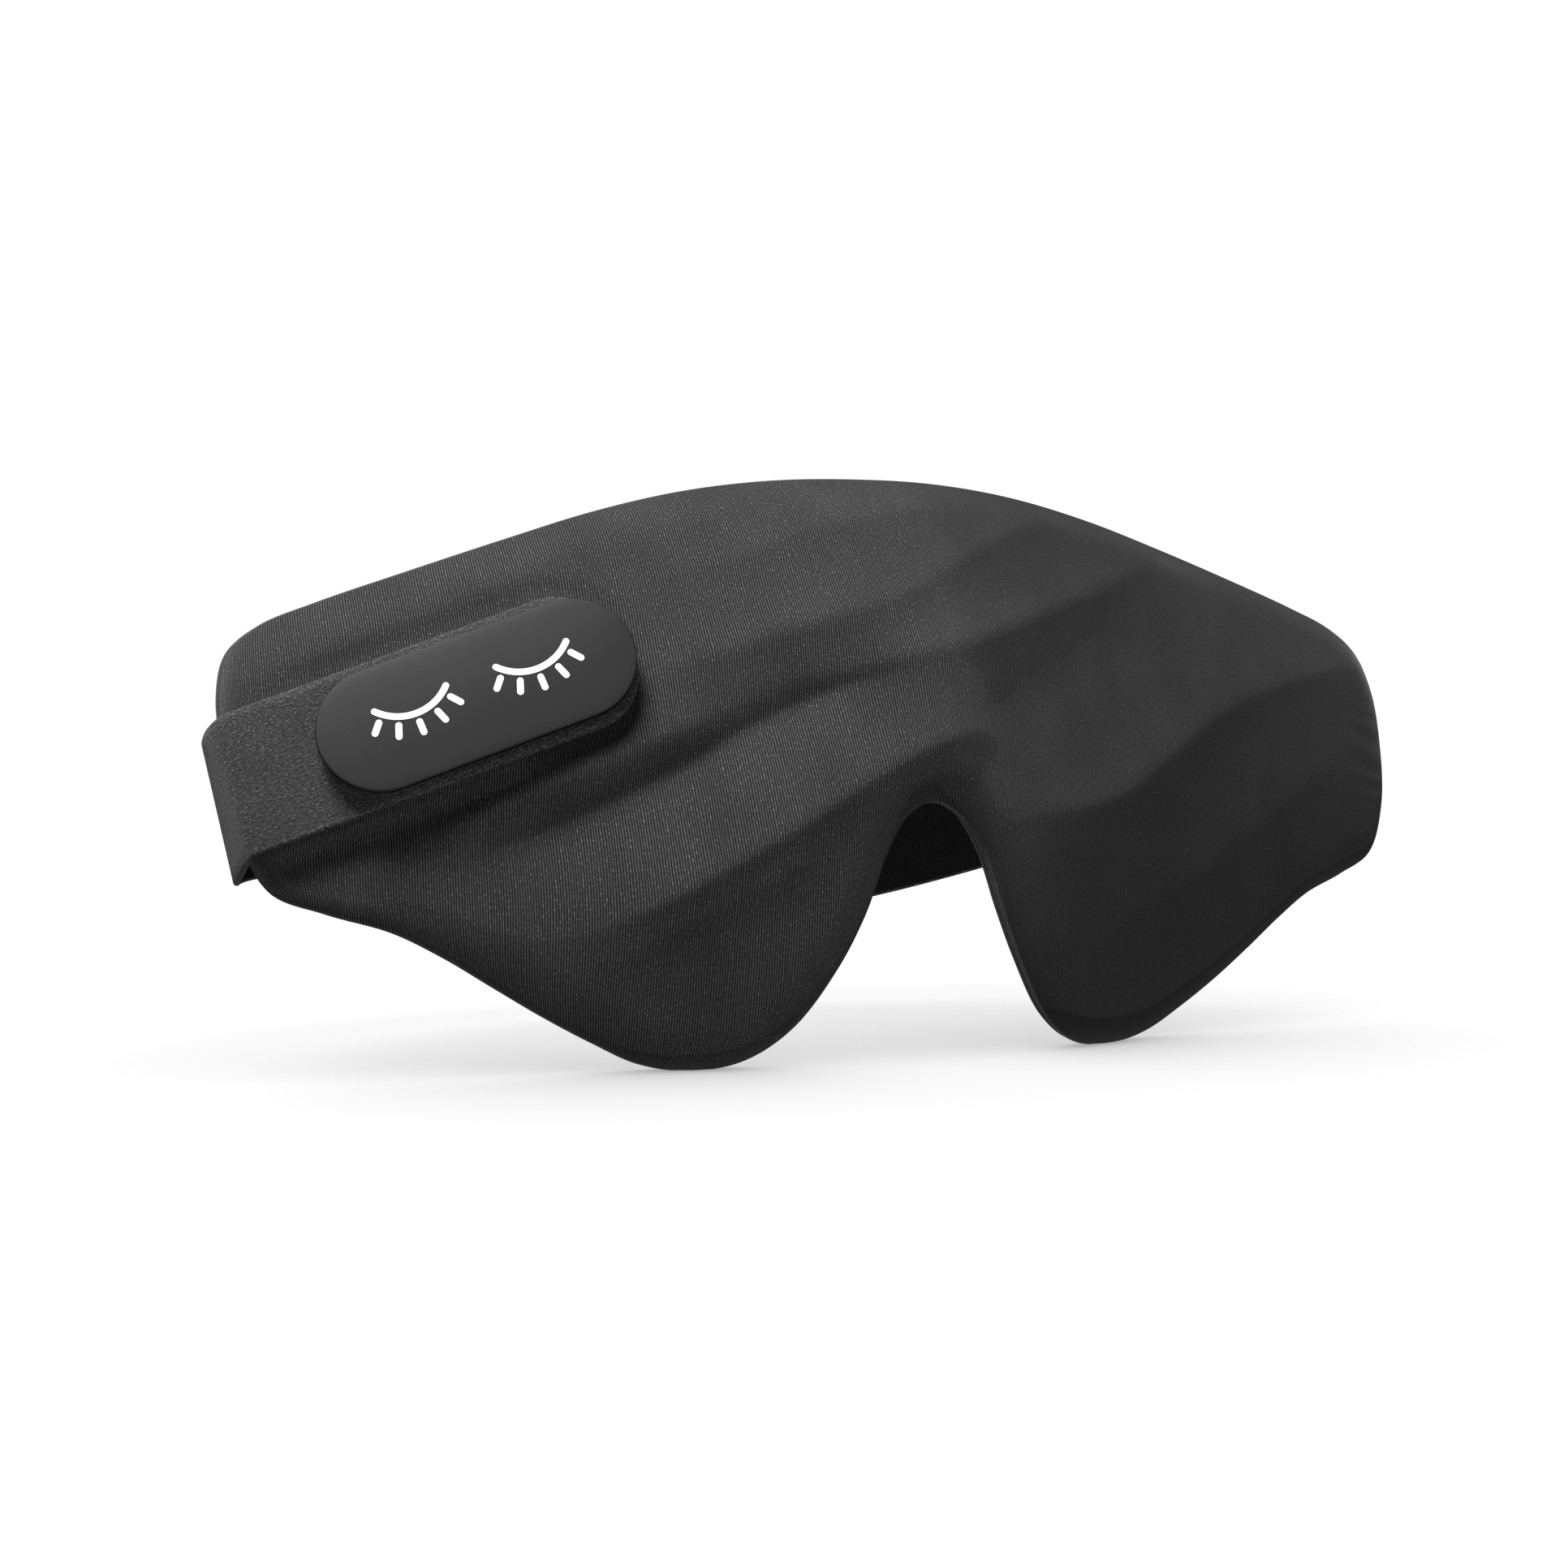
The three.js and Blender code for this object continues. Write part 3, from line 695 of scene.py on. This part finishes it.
# ---- Small things: hooks, stitches, edge seam ----
def tube(path, radius, sides=6, closed=False):
    path = np.asarray(path, float)
    if closed:
        tangent = unit(np.roll(path, -1, axis=0) - np.roll(path, 1, axis=0))
    else:
        tangent = unit(np.gradient(path, axis=0))
    side = unit(np.cross(tangent, [0.0, 1.0, 0.0]))
    other = np.cross(tangent, side)
    angles = np.linspace(0, 2 * math.pi, sides, endpoint=False)
    rings = [path + radius * (math.cos(a) * side + math.sin(a) * other) for a in angles]
    return np.stack(rings, axis=1).reshape(-1, 3), ring_faces(len(path), sides, closed)


def joined(parts):
    verts, faces, first = [], [], 0
    for points, polygons in parts:
        verts.append(points)
        faces += [tuple(first + i for i in polygon) for polygon in polygons]
        first += len(points)
    return np.vstack(verts), faces


SEAM_RADIUS = 0.5
SEAM_INSET = 0.35


def seam_piece():
    outline = inset(pad_outline(900), SEAM_INSET)
    path = at_depth(outline[:, 0], outline[:, 1], EDGE_DEPTH)
    path[:, 2] = np.maximum(path[:, 2], SEAM_RADIUS)
    verts, faces = tube(path, SEAM_RADIUS, sides=8, closed=True)
    return make_object("edge_welt", to_world(verts), faces)


ZIGZAG_PITCH = 1.5
ZIGZAG_HALF_WIDTH = 0.75
ZIGZAG_MARGIN = 1.5  # from the strap's edges
THREAD_RADIUS = 0.2
THREAD_LIFT = 0.12
THREAD_ARCH = 0.16


def zigzag_piece(name, x):
    half = STRAP_HALF - ZIGZAG_MARGIN
    depth = PAD_THICKNESS + SEWN_GAP + STRAP_THICKNESS + THREAD_LIFT
    heights = np.arange(-half, half, ZIGZAG_PITCH / 2)
    corners = [
        (x + (ZIGZAG_HALF_WIDTH if k % 2 else -ZIGZAG_HALF_WIDTH), RIGHT_Z + h)
        for k, h in enumerate(heights)
    ]
    fine = []
    for (xa, za), (xb, zb) in zip(corners, corners[1:]):
        for t in (0, 0.25, 0.5, 0.75):
            rise = THREAD_ARCH * math.sin(math.pi * t)
            fine.append(at_depth(xa + (xb - xa) * t, za + (zb - za) * t, depth + rise))
    verts, faces = tube(np.array(fine), THREAD_RADIUS)
    return make_object(name, to_world(verts), faces)


HOOK_BACKING = 0.45
HOOK_GAP = 0.02  # between the strap and the hooks' backing
HOOK_PITCH = 1.55
HOOK_RADIUS = 0.09
HOOK_LEAN = 0.3
HOOK_HEIGHTS = [0, 0.3, 0.5, 0.56, 0.42]
HOOK_SHIFTS = [0, 0, 0.3, 0.75, 1.0]
HOOK_START = BEND_ALONG + 14
HOOK_END = TAB_LENGTH - 2
HOOK_HALF = TAB_HALF - 1.2
HOOK_MARGIN = 0.9


def hook_piece():
    """The hook half of the fastener: a thin backing with rows of small bent hooks."""
    top = TAB_DEPTH + STRAP_THICKNESS + HOOK_GAP
    straight = HOOK_END - HOOK_HALF
    rounding = HOOK_HALF * np.sin(np.linspace(0, math.pi / 2, 14))[1:]
    stations = np.r_[np.linspace(HOOK_START, straight, 40), straight + rounding]
    beyond = np.maximum(0, stations - straight)
    width = np.sqrt(np.maximum(0.3, HOOK_HALF**2 - beyond**2)) - HOOK_BACKING / 2
    rows = np.linspace(-1, 1, 9)
    grid = tab_point(stations[::-1, None], (width[:, None] * rows)[::-1], top + HOOK_BACKING / 2)
    base, _ = strip_from_grid("hook_patch_hooks", grid, HOOK_BACKING)
    world = np.array([v.co for v in base.data.vertices]) / MM - SHIFT
    parts = [(world, [tuple(p.vertices) for p in base.data.polygons])]
    for i, along in enumerate(np.arange(HOOK_START + 1, HOOK_END - 1, HOOK_PITCH)):
        room = math.sqrt(max(0, HOOK_HALF**2 - max(0, along - straight) ** 2)) - HOOK_MARGIN
        lean = HOOK_LEAN if i % 2 else -HOOK_LEAN
        for across in np.arange(-room, room + 0.01, HOOK_PITCH):
            path = [
                tab_point(along + lean * shift, across, top + HOOK_BACKING + height)
                for height, shift in zip(HOOK_HEIGHTS, HOOK_SHIFTS)
            ]
            parts.append(tube(np.array(path), HOOK_RADIUS, sides=4))
    bpy.data.objects.remove(base)
    verts, faces = joined(parts)
    return make_object("hook_patch_hooks", to_world(verts), faces)


# ---- Materials ----
class Look:
    """A material with a principled shader, and short calls for its nodes."""

    def __init__(self, name, color, roughness, **shader):
        self.material = bpy.data.materials.new(name)
        self.material.use_nodes = True
        self.tree = self.material.node_tree
        self.shader = self.tree.nodes["Principled BSDF"]
        self.shader.inputs["Base Color"].default_value = (*color, 1)
        self.shader.inputs["Roughness"].default_value = roughness
        for socket, value in shader.items():
            self.shader.inputs[socket.replace("_", " ")].default_value = value

    def node(self, kind, **settings):
        made = self.tree.nodes.new(kind)
        for key, value in settings.items():
            setattr(made, key, value)
        return made

    def link(self, source, target):
        if hasattr(source, "links"):
            self.tree.links.new(source, target)
        else:
            target.default_value = source

    def math(self, operation, a, b=0.0, c=0.0):
        made = self.node("ShaderNodeMath", operation=operation)
        for socket, value in zip(made.inputs, (a, b, c)):
            self.link(value, socket)
        return made.outputs[0]

    def weave(self):
        made = self.node("ShaderNodeAttribute", attribute_name="weave")
        split = self.node("ShaderNodeSeparateXYZ")
        self.link(made.outputs["Vector"], split.inputs[0])
        return made.outputs["Vector"], *split.outputs

    def place(self):
        return self.node("ShaderNodeTexCoord").outputs["Object"]

    def place_x(self):
        split = self.node("ShaderNodeSeparateXYZ")
        self.link(self.place(), split.inputs[0])
        return split.outputs[0]

    def fade(self, value, low, high, at_low, at_high):
        made = self.node("ShaderNodeMapRange", interpolation_type="SMOOTHSTEP")
        for socket, setting in zip(made.inputs, (value, low, high, at_low, at_high)):
            self.link(setting, socket)
        return made.outputs[0]

    def noise(self, vector, scale, detail=2.0, roughness=0.5):
        made = self.node("ShaderNodeTexNoise")
        self.link(vector, made.inputs["Vector"])
        made.inputs["Scale"].default_value = scale
        made.inputs["Detail"].default_value = detail
        made.inputs["Roughness"].default_value = roughness
        return made.outputs["Fac"]

    def wave(self, value, pitch):
        """0 to 1 and back once per pitch."""
        turned = self.math("MULTIPLY", value, 2 * math.pi / pitch)
        return self.math("MULTIPLY_ADD", self.math("COSINE", turned), 0.5, 0.5)

    def ramp(self, value, stops):
        made = self.node("ShaderNodeValToRGB")
        elements = made.color_ramp.elements
        while len(elements) < len(stops):
            elements.new(0.5)
        for element, (position, grey) in zip(elements, stops):
            element.position = position
            element.color = (grey, grey, grey * 1.01, 1)
        self.link(value, made.inputs["Fac"])
        return made.outputs["Color"]

    def scaled(self, color, factor):
        made = self.node("ShaderNodeMix", data_type="RGBA", blend_type="MULTIPLY")
        made.inputs["Factor"].default_value = 1
        self.link(color, made.inputs[6])
        self.link(factor, made.inputs[7])
        return made.outputs[2]

    def stretch(self, vector, scale):
        made = self.node("ShaderNodeVectorMath", operation="MULTIPLY")
        self.link(vector, made.inputs[0])
        made.inputs[1].default_value = scale
        return made.outputs[0]

    def bump(self, height, depth_mm):
        made = self.node("ShaderNodeBump")
        made.inputs["Distance"].default_value = depth_mm * MM
        self.link(height, made.inputs["Height"])
        self.link(made.outputs[0], self.shader.inputs["Normal"])

    def color(self, source):
        self.link(source, self.shader.inputs["Base Color"])


RIB = 0.432  # millimetres between the knit's ribs
STITCH = 0.5  # millimetres between its loops along a rib
LINING_RIB = 0.6
LINING_STITCH = 0.45


def knit_look():
    """Ribbed knit. Its ribs are crisp on the tab's half and fainter on the other half, and that other
    half is painted darker: painted shade, as it turns away from the key light.
    """
    look = Look(
        "face knit", (0.045,) * 3, 0.8,
        Sheen_Weight=0.12, Sheen_Roughness=0.35, Specular_IOR_Level=0.2,
    )
    vector, across, along, _ = look.weave()
    drift = look.noise(look.stretch(vector, (0.35, 0.05, 1)), 1.0, detail=3)
    rib = look.wave(look.math("MULTIPLY_ADD", drift, 0.5, across), RIB)
    crisp = look.fade(look.place_x(), -0.01, 0.035, 1.0, 0.2)
    rib = look.math("MULTIPLY_ADD", look.math("SUBTRACT", rib, 0.5), crisp, 0.5)
    loops = look.wave(look.math("MULTIPLY_ADD", across, STITCH / RIB / 2, along), STITCH)
    loops = look.math("MULTIPLY", loops, crisp)
    height = look.math("MULTIPLY_ADD", loops, 0.25, rib)
    # The rib pattern in colour: dark grooves and light crests, partly painted shade in the grooves on
    # top of the bump.
    shade = look.ramp(rib, [(0.0, 0.006), (0.45, 0.03), (1.0, 0.084)])
    patches = look.noise(look.stretch(vector, (0.09, 0.06, 1)), 1.0, detail=4)
    shade = look.scaled(shade, look.ramp(patches, [(0.3, 0.85), (0.7, 1.1)]))
    # Painted highlights: small bright glints on the threads, fewer where the ribs are faint.
    painted_glints = look.noise(look.stretch(vector, (2.6, 1.9, 1)), 1.0, detail=1)
    painted_glints = look.math("MULTIPLY", painted_glints, look.fade(crisp, 0.2, 1.0, 0.9, 1.0))
    shade = look.scaled(shade, look.ramp(painted_glints, [(0.35, 0.72), (0.6, 1.0), (0.74, 2.2)]))
    grain = look.noise(look.stretch(vector, (4.5, 3.6, 1)), 1.0, detail=1)
    shade = look.scaled(shade, look.ramp(grain, [(0.3, 0.72), (0.7, 1.28)]))
    # Painted shade: the half away from the tab is painted darker, as it turns away from the key light.
    shade = look.scaled(shade, look.fade(look.place_x(), -0.03, 0.06, 1.0, 0.74))
    look.color(shade)
    look.bump(height, 0.11)
    return look.material


def lining_look():
    look = Look("lining jersey", (0.03,) * 3, 0.85, Sheen_Weight=0.2, Sheen_Roughness=0.5)
    vector, across, along, _ = look.weave()
    rib = look.wave(across, LINING_RIB)
    loops = look.wave(along, LINING_STITCH)
    height = look.math("MULTIPLY_ADD", loops, 0.5, rib)
    fuzz = look.noise(look.stretch(vector, (1.2, 1.2, 1)), 1.0, detail=4)
    shade = look.ramp(height, [(0, 0.014), (1, 0.034)])
    look.color(look.scaled(shade, look.ramp(fuzz, [(0.3, 0.7), (0.7, 1.25)])))
    look.bump(height, 0.06)
    return look.material


def elastic_look():
    look = Look("brushed elastic", (0.05,) * 3, 0.85, Sheen_Roughness=0.45)
    vector, _, side, outside = look.weave()
    pile = look.noise(look.stretch(vector, (1.5, 2.6, 1)), 1.0, detail=3, roughness=0.7)
    dots = look.noise(look.stretch(vector, (2.2, 3.4, 1)), 1.0, detail=1)
    cloud = look.noise(look.stretch(vector, (0.12, 0.16, 1)), 1.0, detail=3)
    shade = look.ramp(pile, [(0.3, 0.01), (0.5, 0.027), (0.7, 0.07)])
    shade = look.scaled(shade, look.ramp(dots, [(0.55, 1.0), (0.72, 2.6)]))
    shade = look.scaled(shade, look.ramp(cloud, [(0.3, 0.85), (0.7, 1.12)]))
    # Painted shade: the inner face is painted far darker, partly for its plainer weave and mostly for
    # the shade it sits in behind the pad.
    shade = look.scaled(shade, look.ramp(outside, [(0.0, 0.06), (1.0, 1.0)]))
    # Painted highlight: the strap's edges are painted lighter, where they catch the light.
    shade = look.scaled(shade, look.fade(look.math("ABSOLUTE", side), 10.6, 11.2, 1.0, 1.5))
    look.color(shade)
    look.link(look.math("MULTIPLY", outside, 0.2), look.shader.inputs["Sheen Weight"])
    look.link(look.math("MULTIPLY_ADD", outside, 0.25, 0.05), look.shader.inputs["Specular IOR Level"])
    look.bump(look.math("MULTIPLY_ADD", dots, 0.5, pile), 0.45)
    return look.material


def badge_look():
    look = Look("satin badge", (0.026,) * 3, 0.5, Specular_IOR_Level=0.16)
    grain = look.noise(look.place(), 9000, detail=2)
    mottle = look.noise(look.place(), 60, detail=2)
    look.color(look.ramp(mottle, [(0.3, 0.017), (0.7, 0.02)]))
    look.link(look.math("MULTIPLY_ADD", grain, 0.1, 0.42), look.shader.inputs["Roughness"])
    look.bump(grain, 0.01)
    return look.material


def mark_look():
    look = Look("white print", (0.85,) * 3, 0.5)
    grain = look.noise(look.place(), 5000, detail=2)
    look.color(look.ramp(grain, [(0.3, 0.82), (0.7, 0.9)]))
    look.bump(grain, 0.01)
    return look.material


def thread_look():
    look = Look("thread", (0.03,) * 3, 0.7, Sheen_Weight=0.2)
    twist = look.noise(look.stretch(look.place(), (3000, 3000, 6000)), 1.0, detail=1)
    look.color(look.ramp(twist, [(0.3, 0.018), (0.7, 0.05)]))
    look.bump(twist, 0.05)
    return look.material


def hook_look():
    look = Look("hook tape", (0.02,) * 3, 0.5)
    grain = look.noise(look.place(), 2500, detail=2)
    look.color(look.ramp(grain, [(0.3, 0.014), (0.7, 0.028)]))
    look.bump(grain, 0.02)
    return look.material


def foam_look():
    look = Look("foam", (0.2,) * 3, 0.95)
    cells = look.node("ShaderNodeTexVoronoi")
    look.link(look.place(), cells.inputs["Vector"])
    cells.inputs["Scale"].default_value = 1600
    look.color(look.ramp(cells.outputs["Distance"], [(0.0, 0.1), (0.5, 0.24)]))
    look.bump(cells.outputs["Distance"], 0.2)
    return look.material


# ---- Build the mask ----
CLOTH_THICKNESS = 0.75
PAD_RINGS = [0, 0.12, 0.4, 0.9, 1.6, 2.5, 3.5, 4.6, 5.8]  # millimetres in from the outline
PAD_STEP = 1.1
FOAM_CLEARANCE = 1.05  # from the middle of each cloth
FOAM_INSET = 2.0
FOAM_RINGS = [0, 0.8, 1.8, 3.2]
FOAM_STEP = 1.5


def build_pad():
    verts, faces, edge, normal = pad_plan(PAD_RINGS, PAD_STEP)
    weave = fabric_run(verts, normal, border_roll(edge))

    face_points = at_depth(verts[:, 0], verts[:, 1], face_depth(verts, edge))
    face = make_object("pad_face", to_world(face_points), faces, weave)
    add_thickness(face, CLOTH_THICKNESS)
    finish_piece(face, knit_look(), "mask")
    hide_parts("face_fabric")

    back_points = at_depth(verts[:, 0], verts[:, 1], lining_depth(verts, edge))
    turned = [tuple(reversed(f)) for f in faces]
    lining = make_object("pad_lining", to_world(back_points), turned, weave)
    add_thickness(lining, CLOTH_THICKNESS)
    finish_piece(lining, lining_look(), "mask")
    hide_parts("lining_fabric")

    core_plan = pad_plan(FOAM_RINGS, FOAM_STEP, count=420, first=FOAM_INSET)
    core = closed_pad(
        "pad_foam",
        core_plan,
        lambda points, edge: face_depth(points, edge) + FOAM_CLEARANCE,
        lambda points, edge: lining_depth(points, edge) - FOAM_CLEARANCE,
    )
    finish_piece(core, foam_look(), "mask")
    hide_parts("core_foam")

    welt = finish_piece(seam_piece(), thread_look(), "mask")
    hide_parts("edge_seam")
    return [face, lining, welt]


STITCH_ROWS = {"inner": 2.5, "outer": 8.5}  # from where the sewn end starts


def build_strap():
    elastic = elastic_look()
    tab, used = strip_from_grid("strap_tab_strip", tab_grid(), STRAP_THICKNESS)
    finish_piece(tab, elastic)
    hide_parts("strap_tab", "strap_fold")
    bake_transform(tab)

    loop, _ = strip_from_grid("strap_loop_strip", loop_grid(), STRAP_THICKNESS, used)
    finish_piece(loop, elastic)
    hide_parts("strap_band", "strap_end")
    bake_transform(loop)

    thread = thread_look()
    for place, offset in STITCH_ROWS.items():
        stitch = zigzag_piece(f"zigzag_{place}", SEWN_START_X + offset)
        finish_piece(stitch, thread, "mask")
        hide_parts(f"anchor_stitch_{place}")


def build_badge():
    badge = finish_piece(badge_piece(), badge_look(), "tab")
    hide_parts("badge_plate")
    finish_piece(mark_piece(), mark_look(), "tab")
    hooks = finish_piece(hook_piece(), hook_look(), "tab")
    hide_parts("hook_patch")
    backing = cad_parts["badge_backing"]
    backing.data.materials.clear()
    backing.data.materials.append(hook_look())


# ---- Studio ----
FLOOR_HALF = 4.0
GLOW_DIRECTION = (0.34, -0.25, -0.9)
KEY_AIM = (-50, 0, 60)
KEY_DIRECTION = (-0.36, -0.25, 0.9)
KEY_DISTANCE = 0.9
CAMERA_YAW = -0.42021
CAMERA_TILT = 0.029372
CAMERA_ROLL = -0.009608
CAMERA_DISTANCE = 0.49545
CAMERA_TARGET = (-18.56, 20, 47)


def build_floor():
    look = Look(
        "studio floor", (0.93,) * 3, 1.0,
        Specular_IOR_Level=0.0, Emission_Strength=0.36, Emission_Color=(1, 1, 1, 1),
    )
    square = [(x * FLOOR_HALF, y * FLOOR_HALF, 0) for x, y in ((-1, -1), (1, -1), (1, 1), (-1, 1))]
    floor = make_object("floor", square, [(0, 1, 2, 3)])
    floor.data.materials.append(look.material)
    floor.visible_diffuse = False
    floor.visible_glossy = False
    return floor


def build_world():
    """White to the camera. Otherwise dim, with a soft glow off the table from the lower right."""
    world = bpy.data.worlds.new("studio")
    bpy.context.scene.world = world
    world.use_nodes = True
    nodes, links = world.node_tree.nodes, world.node_tree.links
    place = nodes.new("ShaderNodeTexCoord")
    toward = nodes.new("ShaderNodeVectorMath")
    toward.operation = "DOT_PRODUCT"
    toward.inputs[1].default_value = Vector(GLOW_DIRECTION).normalized()
    links.new(place.outputs["Generated"], toward.inputs[0])
    glow = nodes.new("ShaderNodeMapRange")
    glow.inputs["From Min"].default_value = 0.4
    glow.inputs["To Min"].default_value = 0.03
    glow.inputs["To Max"].default_value = 2.8
    links.new(toward.outputs["Value"], glow.inputs["Value"])
    path = nodes.new("ShaderNodeLightPath")
    strength = nodes.new("ShaderNodeMix")
    strength.inputs[3].default_value = 1.1
    links.new(path.outputs["Is Camera Ray"], strength.inputs["Factor"])
    links.new(glow.outputs[0], strength.inputs[2])
    links.new(strength.outputs[0], nodes["Background"].inputs["Strength"])
    nodes["Background"].inputs["Color"].default_value = (1, 1, 1, 1)


def sun(name, direction, spread, power):
    light = bpy.data.lights.new(name, "SUN")
    light.angle = math.radians(spread)
    light.energy = power
    obj = bpy.data.objects.new(name, light)
    obj.rotation_euler = Vector(direction).to_track_quat("Z", "Y").to_euler()
    bpy.context.scene.collection.objects.link(obj)
    return obj


def link_objects(name, objects, state="INCLUDE"):
    """A collection that keeps a light to these objects, or off them."""
    chosen = bpy.data.collections.new(name)
    for obj in objects:
        chosen.objects.link(obj)
    for member in chosen.collection_objects:
        member.light_linking.link_state = state
    return chosen


def key_light():
    """A soft square light, up to the left and a little in front of the tab's end."""
    direction = Vector(KEY_DIRECTION).normalized()
    light = bpy.data.lights.new("key", "AREA")
    light.shape = "SQUARE"
    light.size = 0.4
    light.energy = 17.6
    obj = bpy.data.objects.new("key", light)
    obj.location = Vector(to_world(KEY_AIM)) + KEY_DISTANCE * direction
    obj.rotation_euler = direction.to_track_quat("Z", "Y").to_euler()
    bpy.context.scene.collection.objects.link(obj)
    return obj


def build_lights(floor, standing):
    """The key lights the mask alone, and a wide glow overhead the floor alone."""
    key_light().light_linking.receiver_collection = link_objects("all but floor", [floor], "EXCLUDE")
    overhead = sun("overhead", (0.0, 0.15, 1.0), 150, 2.4)
    overhead.light_linking.receiver_collection = link_objects("floor", [floor])
    overhead.light_linking.blocker_collection = link_objects("what stands on the floor", standing)


def build_camera():
    back = Vector((
        math.sin(CAMERA_YAW) * math.cos(CAMERA_TILT),
        -math.cos(CAMERA_YAW) * math.cos(CAMERA_TILT),
        math.sin(CAMERA_TILT),
    ))
    level = Vector((math.cos(CAMERA_YAW), math.sin(CAMERA_YAW), 0))
    right = math.cos(CAMERA_ROLL) * level + math.sin(CAMERA_ROLL) * back.cross(level)
    turned = Matrix((right, back.cross(right), back)).transposed().to_4x4()
    stands_at = Vector(to_world(CAMERA_TARGET)) + CAMERA_DISTANCE * back
    camera = bpy.data.cameras.new("camera")
    camera.lens = 66.33
    camera.sensor_width = 36
    camera.clip_start = 0.01
    obj = bpy.data.objects.new("camera", camera)
    obj.matrix_world = Matrix.Translation(stands_at) @ turned
    bpy.context.scene.collection.objects.link(obj)
    bpy.context.scene.camera = obj


def build_studio(standing):
    build_world()
    build_lights(build_floor(), standing)
    bpy.context.scene.view_settings.view_transform = "Standard"


build_camera()
build_studio(build_pad())
build_strap()
build_badge()
